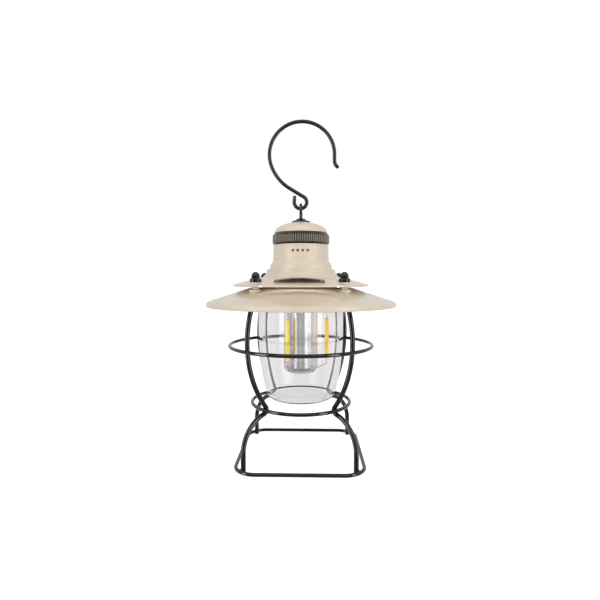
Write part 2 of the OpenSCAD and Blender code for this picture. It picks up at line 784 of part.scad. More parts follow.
// Rubber flap over the charging socket, on a hinge barrel at its lower edge.
module port_cover() {
    inner = neck_r + 0.9;
    outer = inner + 1.2;
    half_w = 7;
    top = usb_z + 4.6;
    color(black) difference() {
        union() {
            intersection() {
                translate([0, 0, hinge_z + 1.5]) difference() {
                    cylinder(r = outer, h = top - hinge_z - 1.5);
                    translate([0, 0, -eps]) cylinder(r = inner, h = 12);
                }
                translate([0, 0, usb_z]) rotate([-90, 0, 0]) linear_extrude(40) {
                    square([2 * half_w, 2 * half_w - 9], center = true);
                    square([2 * half_w - 4, 9.2], center = true);
                    for (x = [-1, 1], z = [-1, 1])
                        translate([x * (half_w - 2), z * 2.6]) circle(r = 2, $fn = 32);
                }
            }
            translate([-2.6, inner + 0.3, hinge_z]) cube([5.2, 1.6, 2.4]);
            translate([-hinge_barrel_l / 2, hinge_y, hinge_z]) rotate([0, 90, 0])
                cylinder(r = 1.15, h = hinge_barrel_l, $fn = 32);
        }
        translate([-hinge_barrel_l, hinge_y, hinge_z]) rotate([0, 90, 0])
            cylinder(r = hinge_pin_r + slack, h = 2 * hinge_barrel_l, $fn = 32);
    }
}

module port_hinge_pin() {
    length = hinge_barrel_l + 3.6;
    color(steel) translate([-length / 2, hinge_y, hinge_z]) rotate([0, 90, 0])
        cylinder(r = hinge_pin_r, h = length, $fn = 32);
}

// Annular rotary sensor on the deck, under the dimmer ring's web.
module dimmer_sensor() {
    color([0.2, 0.2, 0.22]) translate([0, 0, neck_top]) difference() {
        cylinder(r = 19, h = sensor_h);
        translate([0, 0, -eps]) cylinder(r = 11.5, h = sensor_h + 2 * eps);
        translate([0, 0, sensor_h - 0.4]) difference() {
            cylinder(r = 17, h = 1);
            translate([0, 0, -eps]) cylinder(r = 13, h = 2);
        }
    }
}

// Sprung sector under the ring's web that runs on the sensor's track.
module dimmer_wiper() {
    color("gold") translate([0, 0, dimmer_web_z - 0.5]) rotate_extrude(angle = 60)
        translate([13.4, 0]) square([3.2, 0.5]);
}

module dimmer_ring() {
    low_bevel = 1.2;
    high_bevel = 2.3;
    web_h = 1.6;
    rib_low = dimmer_bottom + low_bevel;
    rib_high = dimmer_top - high_bevel;
    rib_depth = 0.5;
    valley_r = dimmer_r - rib_depth;
    core_r = dimmer_r - 1.2;
    color([0.2, 0.19, 0.18]) {
        rotate_extrude() polygon([
            [21.4, dimmer_bottom], [23.4, dimmer_bottom], [dimmer_r - 0.2, rib_low - 0.2],
            [valley_r - 0.1, rib_low], [core_r, rib_low], [core_r, rib_high], [valley_r - 0.1, rib_high],
            [dimmer_r - 0.2, rib_high + 0.2], [22.6, dimmer_top],
            [21, dimmer_top], [21, dimmer_web_z + web_h], [11, dimmer_web_z + web_h], [11, dimmer_top - 1.2],
            [mast_r + slack, dimmer_top - 1.2], [mast_r + slack, dimmer_bottom + 0.9],
            [11, dimmer_bottom + 0.9], [11, dimmer_web_z], [21.4, dimmer_web_z]
        ]);
        translate([0, 0, rib_low]) linear_extrude(rib_high - rib_low) difference() {
            polygon([for (i = [0:2 * rib_count - 1])
                let (a = 180 * i / rib_count, r = dimmer_r - rib_depth * (i % 2)) [r * cos(a), r * sin(a)]]);
            circle(r = core_r - 0.8);
        }
    }
}

// Half-ellipse profile of the dome, cut flat at its crown.
function dome_curve(r, h, top) =
    [for (i = [0:14]) let (a = i * asin(top / h) / 14) [r * cos(a), dome_bottom + h * sin(a)]];

module dome_cap() {
    ceiling_h = dome_crown - dome_bottom - 1.4;
    color(cream) difference() {
        rotate_extrude() polygon(concat(
            dome_curve(dome_r, dome_h, dome_crown - dome_bottom),
            [[0, dome_crown], [0, dome_crown - 1.4], [mast_r + slack, dome_crown - 1.4],
             [mast_r + slack, dome_bottom - 0.6], [mast_r + 2.6, dome_bottom - 0.6],
             [mast_r + 2.6, dome_bottom + ceiling_h - 1]],
            reversed(dome_curve(dome_r - 1.6, dome_h - 1.8, ceiling_h - 1))
        ));
        translate([0, 0, dome_crown - 3]) cylinder(d = shank_d + 0.4, h = 6, $fn = wire_fn);
    }
}

// Two-tier flange that the eye turns in.
module eye_flange() {
    color(black) rotate_extrude() polygon([
        [shank_d / 2 + slack, dome_crown], [flange_r, dome_crown], [flange_r - 0.2, dome_crown + 0.7],
        [flange_r - 1, dome_crown + 1.4], [flange_tier_r + 0.6, dome_crown + 2],
        [flange_tier_r, dome_crown + 2.6], [flange_tier_r - 0.8, dome_crown + 3.4],
        [shank_d / 2 + slack, dome_crown + 3.6]
    ]);
}

module eye_bolt() {
    color(black) {
        translate([0, 0, shank_bottom])
            cylinder(d = shank_d, h = eye_z - eye_r - shank_bottom, $fn = wire_fn);
        translate([0, 0, eye_z]) rotate([0, 90, 0]) rotate_extrude() translate([eye_r, 0])
            circle(d = eye_d, $fn = wire_fn);
    }
}

module eye_nut() {
    color(steel) translate([0, 0, dome_crown - 1.6 - 2.6]) difference() {
        cylinder(r = 3.2, h = 2.6, $fn = 6);
        translate([0, 0, -eps]) cylinder(d = shank_d + 2 * slack, h = 3, $fn = wire_fn);
    }
}

module hook() {
    path = [
        [tip_straight_l, 0], [tip_bend, -tip_turn], [tip_drop, 0], [hook_r, 90 + hook_side_turn],
        [neck_bend, hook_neck_turn], [neck_l, 0], [loop_r, -loop_turn], [loop_end_l, 0]
    ];
    color(black) translate([tip_end[0], 0, tip_end[1]]) rotate([90, 0, 0]) rotate(90 + tip_turn)
        swept_wire(path, hook_d);
}

leg(leg_angles[0]);  // leg_front_left
leg(leg_angles[1]);  // leg_front_right
leg(leg_angles[2]);  // leg_rear_left
leg(leg_angles[3]);  // leg_rear_right
base_ring();
narrow_ring();
wide_ring();
shade_washers();
lower_shade();
spacers();
nut_collars();
cap_nuts();
housing();
nameplate();
nameplate_rivets();
chassis();
chassis_screws();
globe();
globe_gasket();
globe_retainer();
retainer_screws();
column_tube();
column_screws();
battery_cell();
contact_spring();
positive_contact();
led_board();
reflector_plate();
reflector_screws();
filaments();
filament_leads();
driver_board();
board_parts();
board_screws();
indicator_light_pipes();
usb_socket();
port_cover();
port_hinge_pin();
dimmer_sensor();
dimmer_wiper();
dimmer_ring();
dome_cap();
eye_flange();
eye_bolt();
eye_nut();
hook();
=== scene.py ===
"""Looks of a hanging camping lantern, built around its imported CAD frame.

Shapes are given in millimetres, and outlines as (radius, height) points. Lamps and the camera are placed in
metres. Angles are in degrees. The lantern stands on the ground with its axis on Z, and its front faces -Y.
"""

import json
import math

import bmesh
import bpy
import numpy as np
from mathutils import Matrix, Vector

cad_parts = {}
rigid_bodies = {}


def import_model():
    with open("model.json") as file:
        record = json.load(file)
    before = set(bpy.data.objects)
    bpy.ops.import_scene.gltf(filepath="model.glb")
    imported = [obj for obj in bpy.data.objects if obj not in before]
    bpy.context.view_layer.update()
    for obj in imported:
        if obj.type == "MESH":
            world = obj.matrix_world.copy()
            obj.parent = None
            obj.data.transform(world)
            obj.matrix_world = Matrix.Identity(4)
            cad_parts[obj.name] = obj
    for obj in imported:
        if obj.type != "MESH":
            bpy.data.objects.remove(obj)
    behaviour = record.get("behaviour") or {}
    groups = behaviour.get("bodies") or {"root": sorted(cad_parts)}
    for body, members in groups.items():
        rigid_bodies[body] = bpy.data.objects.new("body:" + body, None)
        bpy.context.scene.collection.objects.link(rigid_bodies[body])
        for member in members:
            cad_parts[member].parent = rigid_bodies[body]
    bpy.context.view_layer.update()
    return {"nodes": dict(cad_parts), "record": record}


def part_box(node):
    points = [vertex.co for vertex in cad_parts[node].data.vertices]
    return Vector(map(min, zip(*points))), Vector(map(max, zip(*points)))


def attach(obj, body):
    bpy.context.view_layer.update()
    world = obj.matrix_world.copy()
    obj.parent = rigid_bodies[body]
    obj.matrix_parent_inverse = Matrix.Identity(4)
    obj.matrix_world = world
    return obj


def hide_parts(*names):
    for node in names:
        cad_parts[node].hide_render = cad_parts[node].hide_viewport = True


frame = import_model()

MM = 0.001
STUD_ANGLES = (45, 135, 225, 315)
LEG_NODES = {"leg_front_left": 225, "leg_front_right": 315, "leg_rear_left": 135, "leg_rear_right": 45}


# ---- Sizes, from the frame where a box gives them ----


def extent(node):
    """Largest x, lowest z and highest z of a CAD node, in millimetres."""
    low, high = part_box(node)
    return high.x / MM, low.z / MM, high.z / MM


def ring_size(node):
    """Centre-line radius, centre height and wire radius of a CAD ring that lies flat."""
    reach, low, high = extent(node)
    wire = (high - low) / 2
    return reach - wire, (low + high) / 2, wire


SHADE_R, SHADE_LOW, SHADE_TOP = extent("lower_shade")
BRIM_R, BRIM_LOW, MAST_TOP = extent("housing")
LIP_R, GLOBE_LOW, GLOBE_TOP = extent("globe")
DIMMER_R, DIMMER_LOW, DIMMER_TOP = extent("dimmer_ring")
DOME_R, DOME_HUB_LOW, DOME_TOP = extent("dome_cap")
TUBE_FLANGE_R, COLUMN_LOW, COLUMN_TOP = extent("column_tube")
FLANGE_R, FLANGE_LOW, FLANGE_TOP = extent("eye_flange")
LEG_WIRE = 2
FOOT_R = (extent("leg_rear_right")[0] - LEG_WIRE) * math.sqrt(2)
STUD_TOP = extent("leg_rear_right")[2]

# The leg: a bend outside its kink, a belly, and a bend up into the stud.
FOOT_Z = 15
KINK_R, KINK_Z, KINK_BEND = 42, 45, 3.5
BELLY_R, BELLY_Z = 57.5, 100
STUD_R, STUD_BEND = 49, 6
BASE_CORNER = 16.96

# Seats along the studs, and the bore of what slides on them.
SEAT_R, STUD_BORE = 5, 2.05
SHADE_SEAT_LOW, SHADE_SEAT_HIGH = 139.4, 141.9
BRIM_SEAT_LOW, BRIM_SEAT_HIGH = 145.9, 147.6
COLLAR_R, COLLAR_H = 4.55, 3.3
NUT_TOP, NUT_HEX_R, NUT_HEX_H = 155.8, 3.6, 2.6

# Housing: flare, collar and neck.
FLARE_FOOT = (42.8, 149.5)
FLARE_CENTRE, FLARE_BEND = (36.6, 158), 7.45
COLLAR_Z, NECK_Z, NECK_TOP = 158.2, 165, 179
NECK_R, NECK_BASE_R = 23.2, 23.8
HOUSING_WALL = 1.6
MAST_R, MAST_BORE = 8, 5.5
INDICATOR_Z, INDICATOR_R, INDICATOR_X = 173.3, 1.1, (-6, -2, 2, 6)
PORT_Z, PORT_W, PORT_H = 170.1, 10.8, 5
HINGE_Y, HINGE_Z, BARREL_L = 25.2, 165.6, 6

# Nameplate on the brim.
PLATE_R, PLATE_T, PLATE_HALF = 51.8, 0.9, 19.4
PLATE_LOW, PLATE_TOP, PLATE_ARCH, PLATE_END = 147.3, 151.2, 96, 1.1
RIVET_ANGLES, RIVET_Z = (251.3, 288.7), 149

# Globe and light column.
GLOBE_R, GLOBE_WALL, GLOBE_BELLY_Z = 36.2, 2.6, 106
GLOBE_SHOULDER = (30, 54)
LIP_H = 2.1
COLUMN_R, COLUMN_CORNER, COLUMN_WALL = 14.5, 6, 0.9
FILAMENT_RING, FILAMENT_R = 22.3, 1.6
FILAMENT_LOW, FILAMENT_HIGH = 82.8, 117.8
FILAMENT_ANGLES = (2, 122, 242)
LEAD_R, LEAD_TOP, LEAD_ELBOW = 0.3, 138.1, 77.6

# Hook and eye.
HOOK_WIRE, HOOK_R, HOOK_X = 1.6, 27.5, 0.85
HOOK_SIDE_TURN, HOOK_NECK_TURN = 110, 39
LOOP_R, LOOP_X, LOOP_TURN, LOOP_END = 5.3, -0.35, 243, 5.4
TIP_DROP, TIP_BEND, TIP_TURN, TIP_STRAIGHT = 5.5, 6, 52, 1.6
EYE_R, EYE_WIRE, SHANK_R = 3.3, 1.2, 1.4
HOOK_Z = extent("hook")[2] - HOOK_R - HOOK_WIRE
SHANK_LOW, EYE_TOP = extent("eye_bolt")[1:]
EYE_Z = EYE_TOP - EYE_R - EYE_WIRE


# ---- Outlines and paths ----

# A bent wire has a point every STRAIGHT_STEP mm, and on a bend one for every ARC_STEP of degrees times mm of
# bend radius. Bends under TIGHT_BEND mm are divided as if they had that radius.
STRAIGHT_STEP, ARC_STEP, TIGHT_BEND = 4, 130, 12


def unit(angle):
    """Unit vector at an angle in degrees."""
    return np.array([math.cos(math.radians(angle)), math.sin(math.radians(angle))])


def arc(centre, radius, start, end, steps):
    """Points of an arc, both ends included."""
    return [tuple(np.array(centre) + radius * unit(a)) for a in np.linspace(start, end, steps + 1)]


def rounded(points, radius, steps=4):
    """A closed outline with each corner replaced by a curve that starts `radius` before it.

    A point may carry its own radius as a third number.
    """
    smallest, widest_share = 0.01, 0.45
    made = []
    corners = [np.array(p[:2], float) for p in points]
    for i, corner in enumerate(corners):
        before = corners[i - 1] - corner
        after = corners[(i + 1) % len(corners)] - corner
        reach = points[i][2] if len(points[i]) > 2 else radius
        reach = min(reach, *(widest_share * np.linalg.norm(side) for side in (before, after)))
        if reach < smallest:
            made.append(tuple(corner))
            continue
        start = corner + reach * before / np.linalg.norm(before)
        end = corner + reach * after / np.linalg.norm(after)
        made += corner_curve(start, corner, end, steps)
    return made


def corner_curve(start, corner, end, steps):
    """Points of a quadratic curve that rounds a corner, both ends included."""
    shares = [k / steps for k in range(steps + 1)]
    return [tuple((1 - t) ** 2 * start + 2 * t * (1 - t) * corner + t**2 * end) for t in shares]


def bent(segments, at, heading):
    """Points along a bent wire in a plane.

    A segment is (length, 0) for a straight or (bend radius, turn) for an arc. A positive turn goes left.
    """
    points = [np.array(at, float)]
    for size, turn in segments:
        at = points[-1]
        if turn == 0:
            steps = max(1, round(size / STRAIGHT_STEP))
            points += [at + unit(heading) * size * k / steps for k in range(1, steps + 1)]
            continue
        side = math.copysign(1, turn)
        centre = at + side * size * unit(heading + 90)
        steps = math.ceil(abs(turn) * max(size, TIGHT_BEND) / ARC_STEP)
        points += [centre - side * size * unit(heading + 90 + turn * k / steps) for k in range(1, steps + 1)]
        heading += turn
    return np.array(points)


def past_bend(across, up, bend):
    """Radius of the arc from a vertical tangent to a bend whose centre is `across` and `up` away."""
    return (across**2 + up**2 - bend**2) / (2 * (across + bend))


# ---- Meshes: a shape is (vertices in millimetres, faces) ----

# Edges that turn by more than this stay sharp.
SHARP_ANGLE = 32


def lathe(outline, segments, reshape=None, closed=True):
    """An outline turned about Z. reshape(radius, height, angle) may change the radii."""
    outline = np.array([p[:2] for p in outline], float)
    angle = np.linspace(0, 2 * math.pi, segments, endpoint=False)
    radius = np.repeat(outline[:, :1], segments, axis=1)
    height = np.repeat(outline[:, 1:], segments, axis=1)
    if reshape:
        radius = reshape(radius, height, angle)
    vertices = np.stack([radius * np.cos(angle), radius * np.sin(angle), height], axis=-1).reshape(-1, 3)
    rows = len(outline)
    faces = []
    for i in range(rows if closed else rows - 1):
        a, b = i * segments, (i + 1) % rows * segments
        for j in range(segments):
            k = (j + 1) % segments
            faces.append((a + j, a + k, b + k, b + j))
    return vertices, faces


def sweep(path, wire, normal, closed=False, edge=0, sides=24):
    """A round wire along points in the plane with that normal. `edge` is the rounding of its open ends."""
    path = np.array(path, float)
    radii = np.full(len(path), float(wire))
    if closed:
        tangent = np.roll(path, -1, axis=0) - np.roll(path, 1, axis=0)
    else:
        path, radii = with_round_ends(path, wire, edge)
        tangent = np.gradient(path, axis=0)
    tangent /= np.linalg.norm(tangent, axis=1, keepdims=True)
    normal = np.array(normal, float)
    side = np.cross(normal, tangent)
    turn = np.linspace(0, 2 * math.pi, sides, endpoint=False)
    ring = np.cos(turn)[None, :, None] * side[:, None, :] + np.sin(turn)[None, :, None] * normal
    vertices = (path[:, None, :] + radii[:, None, None] * ring).reshape(-1, 3)
    faces = []
    for i in range(len(path) if closed else len(path) - 1):
        a, b = i * sides, (i + 1) % len(path) * sides
        for j in range(sides):
            k = (j + 1) % sides
            faces.append((a + j, a + k, b + k, b + j))
    if not closed:
        faces += [tuple(range(sides)), tuple(range(len(vertices) - 1, len(vertices) - 1 - sides, -1))]
    return vertices, faces


def with_round_ends(path, wire, edge):
    """The path and its radii, with stations added at both ends where the wire's edge is rounded off."""
    steps, least = 5, 0.02
    drop = [edge * (1 - math.sin(math.radians(90 * k / steps))) for k in range(steps)]
    inward = [edge * (1 - math.cos(math.radians(90 * k / steps))) for k in range(steps)]
    ends = []
    for end, inner in ((path[0], path[1]), (path[-1], path[-2])):
        along = (inner - end) / np.linalg.norm(inner - end)
        ends.append([end + along * far for far in inward])
    radii = [max(wire - d, least) for d in drop]
    body = path[1:-1]
    path = np.array([*ends[0], *body, *reversed(ends[1])])
    return path, np.array([*radii, *[wire] * len(body), *reversed(radii)])


def block(size, centre, edge):
    """A box with rounded edges."""
    mesh = bmesh.new()
    bmesh.ops.create_cube(mesh, size=1)
    bmesh.ops.scale(mesh, vec=size, verts=mesh.verts)
    bmesh.ops.bevel(mesh, geom=mesh.edges[:], offset=edge, segments=3, profile=0.5, affect="EDGES")
    mesh.verts.index_update()
    vertices = np.array([v.co for v in mesh.verts]) + np.array(centre)
    faces = [tuple(v.index for v in f.verts) for f in mesh.faces]
    mesh.free()
    return vertices, faces


def curved_plate(loops):
    """A plate bent round Z, in front of the axis. Each loop is (points of (x, z), cylinder radius).

    A loop's second half mirrors its first, so the first and last loops are closed by strips across them.
    """
    count = len(loops[0][0])
    vertices = []
    for points, radius in loops:
        vertices += [(x, -math.sqrt(radius**2 - x**2), z) for x, z in points]
    faces = []
    for i in range(len(loops) - 1):
        for j in range(count):
            k = (j + 1) % count
            faces.append((i * count + j, i * count + k, (i + 1) * count + k, (i + 1) * count + j))
    for base in (0, (len(loops) - 1) * count):
        for j in range(count // 2 - 1):
            faces.append((base + j, base + j + 1, base + count - 2 - j, base + count - 1 - j))
    return np.array(vertices), faces


def moved(shape, x=0.0, y=0.0, z=0.0, spin=0.0):
    """A shape turned about Z and then moved."""
    vertices, faces = shape
    c, s = unit(spin)
    turn = np.array([[c, -s, 0], [s, c, 0], [0, 0, 1]])
    return vertices @ turn.T + np.array([x, y, z]), faces


def lying(shape, axis):
    """A shape made along Z, laid along X or Y."""
    vertices, faces = shape
    order = {"x": [2, 0, 1], "y": [1, 2, 0]}[axis]
    return vertices[:, order], faces


def merged(shapes):
    """Several shapes as one."""
    vertices, faces, offset = [], [], 0
    for v, f in shapes:
        vertices.append(v)
        faces += [tuple(i + offset for i in face) for face in f]
        offset += len(v)
    return np.concatenate(vertices), faces


def at_angles(shape, angles, radius, z=0.0):
    """Copies of a shape on a circle about the axis, each turned with its place."""
    return merged([moved(moved(shape, x=radius, z=z), spin=a) for a in angles])


def mesh_object(name, shape, sharp=SHARP_ANGLE):
    """A Blender object with outward normals, smooth faces and sharp edges above an angle."""
    vertices, faces = shape
    data = bpy.data.meshes.new(name)
    data.from_pydata((vertices * MM).tolist(), [], faces)
    work = bmesh.new()
    work.from_mesh(data)
    bmesh.ops.remove_doubles(work, verts=work.verts, dist=1e-7)
    bmesh.ops.recalc_face_normals(work, faces=work.faces)
    work.to_mesh(data)
    work.free()
    finish_mesh(data, sharp)
    made = bpy.data.objects.new(name, data)
    bpy.context.scene.collection.objects.link(made)
    return made


def finish_mesh(data, sharp):
    """Smooth faces, with the edges above an angle kept sharp."""
    data.shade_smooth()
    data.set_sharp_from_angle(angle=math.radians(sharp))


def piece(name, shape, look, body="root", nodes=(), sharp=SHARP_ANGLE):
    """A piece of the object: it rides on a body, has a finish and may stand for CAD nodes."""
    made = mesh_object(name, shape, sharp)
    made.data.materials.append(look)
    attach(made, body)
    if nodes:
        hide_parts(*nodes)
    return made


def cut(target, shapes):
    """Takes shapes away from a piece's mesh."""
    tool = mesh_object("cutter", merged(shapes))
    modifier = target.modifiers.new("cut", "BOOLEAN")
    modifier.operation = "DIFFERENCE"
    modifier.solver = "EXACT"
    modifier.object = tool
    bpy.context.view_layer.update()
    evaluated = target.evaluated_get(bpy.context.evaluated_depsgraph_get())
    result = bpy.data.meshes.new_from_object(evaluated)
    target.modifiers.clear()
    target.data = result
    finish_mesh(result, SHARP_ANGLE)
    bpy.data.objects.remove(tool)


# ---- Materials ----

# Most of a noise lies between these values.
NOISE_LOW, NOISE_HIGH = 0.3, 0.7


def srgb(red, green, blue):
    """A display colour, 0 to 255, as linear light."""
    linear = [c / 255 / 12.92 if c <= 10 else ((c / 255 + 0.055) / 1.055) ** 2.4 for c in (red, green, blue)]
    return (*linear, 1)


def set_span(node, source, target):
    """Makes a Map Range node map one span of values to another."""
    values = {"From Min": source[0], "From Max": source[1], "To Min": target[0], "To Max": target[1]}
    for label, value in values.items():
        node.inputs[label].default_value = value


class Look:
    """A material with one Principled shader, and helpers for the nodes that feed it."""

    def __init__(self, name, **values):
        self.material = bpy.data.materials.new(name)
        self.material.use_nodes = True
        self.tree = self.material.node_tree
        self.shader = self.tree.nodes["Principled BSDF"]
        for label, value in values.items():
            self.shader.inputs[label.replace("_", " ")].default_value = value
        self.place = self.tree.nodes.new("ShaderNodeTexCoord").outputs["Object"]

    def link(self, source, target):
        self.tree.links.new(source, target)

    def stretched(self, scale):
        """Object coordinates, scaled per axis."""
        mapping = self.tree.nodes.new("ShaderNodeMapping")
        mapping.inputs["Scale"].default_value = scale
        self.link(self.place, mapping.inputs["Vector"])
        return mapping.outputs["Vector"]

    def noise(self, scale, detail=3, stretch=None):
        """A noise from 0 to 1 with `scale` cells to the metre."""
        node = self.tree.nodes.new("ShaderNodeTexNoise")
        node.inputs["Scale"].default_value = scale
        node.inputs["Detail"].default_value = detail
        self.link(self.stretched(stretch) if stretch else self.place, node.inputs["Vector"])
        return node.outputs["Fac"]

    def blend(self, source, colours, start=NOISE_LOW, end=NOISE_HIGH):
        """A colour ramp between two colours."""
        node = self.tree.nodes.new("ShaderNodeValToRGB")
        for element, position, colour in zip(node.color_ramp.elements, (start, end), colours):
            element.position = position
            element.color = colour
        self.link(source, node.inputs["Fac"])
        return node.outputs["Color"]

    def colour(self, source, *colours):
        self.link(self.blend(source, colours), self.shader.inputs["Base Color"])

    def roughness(self, source, low, high):
        node = self.tree.nodes.new("ShaderNodeMapRange")
        set_span(node, (NOISE_LOW, NOISE_HIGH), (low, high))
        self.link(source, node.inputs["Value"])
        self.link(node.outputs["Result"], self.shader.inputs["Roughness"])

    def bump(self, source, depth):
        """Relief, `depth` millimetres from a height of 0 to 1."""
        node = self.tree.nodes.new("ShaderNodeBump")
        node.inputs["Distance"].default_value = depth * MM
        node.inputs["Strength"].default_value = 1
        self.link(source, node.inputs["Height"])
        self.link(node.outputs["Normal"], self.shader.inputs["Normal"])


def cream_paint():
    """Semi-gloss cream enamel with faint tone changes and orange peel."""
    look = Look("cream_paint", Specular_IOR_Level=0.5, Coat_Weight=0.5, Coat_Roughness=0.06)
    look.colour(look.noise(55), srgb(222, 207, 186), srgb(229, 215, 195))
    look.roughness(look.noise(260), 0.34, 0.46)
    look.bump(look.noise(900, detail=2), 0.012)
    return look.material


def powder_coat(name, dark, light):
    """Glossy black powder coat with a slightly uneven tone and flow."""
    look = Look(name, Specular_IOR_Level=0.55)
    look.colour(look.noise(350), srgb(*dark), srgb(*light))
    look.roughness(look.noise(260), 0.06, 0.1)
    look.bump(look.noise(450, detail=1), 0.001)
    return look.material


def moulded(name, dark, light, rough, grain=1500, depth=0.015):
    """Moulded plastic or rubber with a fine texture."""
    look = Look(name)
    look.colour(look.noise(420), srgb(*dark), srgb(*light))
    look.roughness(look.noise(500), *rough)
    look.bump(look.noise(grain, detail=2), depth)
    return look.material


def turned_metal(name, dark, light, rough, depth=0.004):
    """Metal with fine turning lines around the axis."""
    across, lines = 40, 2600
    look = Look(name, Metallic=1.0)
    streaks = look.noise(1, stretch=(across, across, lines))
    look.colour(streaks, srgb(*dark), srgb(*light))
    look.roughness(streaks, *rough)
    look.bump(streaks, depth)
    return look.material


def bronze(name, dark, light):
    """Bronze finish of the blank nameplate, with worn tones."""
    look = Look(name, Metallic=0.55, Specular_IOR_Level=0.5)
    look.colour(look.noise(320, detail=5), srgb(*dark), srgb(*light))
    look.roughness(look.noise(600), 0.3, 0.5)
    look.bump(look.noise(900), 0.02)
    return look.material


def phosphor():
    """Yellow silicone over a row of light chips, with a faint glow."""
    look = Look("filament_phosphor", Roughness=0.42, Specular_IOR_Level=0.5)
    wave = look.tree.nodes.new("ShaderNodeTexWave")
    wave.bands_direction = "Z"
    wave.inputs["Scale"].default_value = 190
    wave.inputs["Distortion"].default_value = 0.6
    look.link(look.place, wave.inputs["Vector"])
    tone = look.blend(wave.outputs["Fac"], (srgb(244, 190, 14), srgb(252, 216, 40)), 0.1, 0.9)
    look.link(tone, look.shader.inputs["Base Color"])
    look.link(tone, look.shader.inputs["Emission Color"])
    look.shader.inputs["Emission Strength"].default_value = 0.45
    look.bump(look.noise(1500), 0.02)
    return look.material


def clear_glass():
    """Thick clear glass that lets lamp light through, with faint waviness."""
    look = Look("clear_glass", Transmission_Weight=1.0, IOR=1.5, Roughness=0.0)
    look.colour(look.noise(30), srgb(241, 240, 241), srgb(244, 243, 243))
    look.bump(look.noise(24, detail=1), 0.006)
    nodes = look.tree.nodes
    mix = nodes.new("ShaderNodeMixShader")
    clear = nodes.new("ShaderNodeBsdfTransparent")
    rays = nodes.new("ShaderNodeLightPath")
    look.link(rays.outputs["Is Shadow Ray"], mix.inputs["Fac"])
    look.link(look.shader.outputs["BSDF"], mix.inputs[1])
    look.link(clear.outputs["BSDF"], mix.inputs[2])
    look.link(mix.outputs["Shader"], nodes["Material Output"].inputs["Surface"])
    return look.material


CREAM = cream_paint()
BLACK = powder_coat("black_powder", (9, 9, 9), (17, 16, 16))
NUT_BLACK = powder_coat("black_nut", (8, 8, 8), (18, 17, 17))
STEEL = turned_metal("bright_steel", (178, 178, 180), (214, 214, 216), (0.22, 0.36))
SATIN = turned_metal("satin_aluminium", (226, 226, 226), (231, 231, 231), (0.24, 0.26), depth=0.0005)
GLASS = clear_glass()
BRONZE = bronze("dark_bronze", (62, 44, 38), (92, 72, 64))
RUBBED_BRONZE = bronze("rubbed_bronze", (118, 98, 86), (160, 140, 126))
PHOSPHOR = phosphor()
# The grip ribs are the same dark plastic as the dimmer body; their light grey is a painted highlight on the
# rib tops.
DIMMER_RIB_HIGHLIGHT = moulded("dimmer_rib_painted_highlight", (128, 119, 110), (140, 131, 121), (0.3, 0.4), depth=0.004)
DIMMER_EDGE = moulded("dimmer_edge_plastic", (18, 15, 13), (24, 20, 18), (0.1, 0.16), depth=0.002)
BLACK_PLASTIC = moulded("black_plastic", (24, 24, 25), (34, 34, 35), (0.45, 0.6), depth=0.03)
RUBBER = moulded("black_rubber", (26, 26, 26), (38, 37, 36), (0.6, 0.78), grain=900)
WHITE_PLASTIC = moulded("white_plastic", (226, 226, 224), (238, 238, 236), (0.3, 0.42))
CELL_WRAP = moulded("cell_wrap", (52, 92, 150), (62, 104, 166), (0.2, 0.32))
BRASS = turned_metal("brass", (196, 158, 84), (222, 186, 112), (0.22, 0.34))
BOARD = moulded("board_green", (24, 84, 52), (32, 100, 62), (0.3, 0.42))
LENS = moulded("indicator_lens", (112, 90, 72), (132, 108, 88), (0.16, 0.26))

SLOT_LOOKS = {
    "black_wire": BLACK,
    "cream_paint": CREAM,
    "nameplate_bronze": BRONZE,
    "bright_steel": STEEL,
    "black_plastic": BLACK_PLASTIC,
    "dimmer_plastic": DIMMER_EDGE,
    "clear_glass": GLASS,
    "rubber": RUBBER,
    "column_metal": SATIN,
    "cell_wrap": CELL_WRAP,
    "brass": BRASS,
    "white_plastic": WHITE_PLASTIC,
    "filament_phosphor": PHOSPHOR,
    "board_green": BOARD,
    "indicator_lens": LENS,
}


def dress_cad_nodes():
    """Gives each carried-over CAD node the look of its slot in the record."""
    for row in frame["record"]["subparts"]:
        node = frame["nodes"][row["node"]]
        node.data.materials.clear()
        node.data.materials.append(SLOT_LOOKS[row["material_slot"]])


# ---- Guard ----


def leg_path():
    """Points of a leg in its own radial plane, from the ground to the top of its stud."""
    foot_bend = past_bend(FOOT_R - KINK_R, KINK_Z - FOOT_Z, KINK_BEND)
    belly_bend = past_bend(BELLY_R - KINK_R, BELLY_Z - KINK_Z, KINK_BEND)
    foot_turn = math.degrees(math.atan2(KINK_Z - FOOT_Z, KINK_R - FOOT_R + foot_bend))
    belly_start = math.degrees(math.atan2(KINK_Z - BELLY_Z, KINK_R - BELLY_R + belly_bend))
    both_bends = belly_bend + STUD_BEND
    stud_turn = math.degrees(math.acos((STUD_R - BELLY_R + both_bends) / both_bends))
    stud_start = BELLY_Z + both_bends * math.sin(math.radians(stud_turn))
    segments = (
        (FOOT_Z, 0),
        (foot_bend, foot_turn),
        (KINK_BEND, belly_start - foot_turn),
        (belly_bend, stud_turn - belly_start),
        (STUD_BEND, -stud_turn),
        (STUD_TOP - stud_start, 0),
    )
    return bent(segments, (FOOT_R, 0), 90)


def make_legs():
    path = leg_path()
    for name, angle in LEG_NODES.items():
        out = np.array([*unit(angle), 0])
        points = path[:, :1] * out + path[:, 1:] * np.array([0, 0, 1])
        normal = (*unit(angle - 90), 0)
        piece(f"{name}_wire", sweep(points, LEG_WIRE, normal, edge=0.5), BLACK, nodes=[name])


def make_rings():
    for node in ("narrow_ring", "wide_ring"):
        radius, z, wire = ring_size(node)
        points = [(*(radius * unit(a)), z) for a in np.linspace(0, 360, 180, endpoint=False)]
        piece(f"{node}_wire", sweep(points, wire, (0, 0, 1), closed=True), BLACK, nodes=[node])


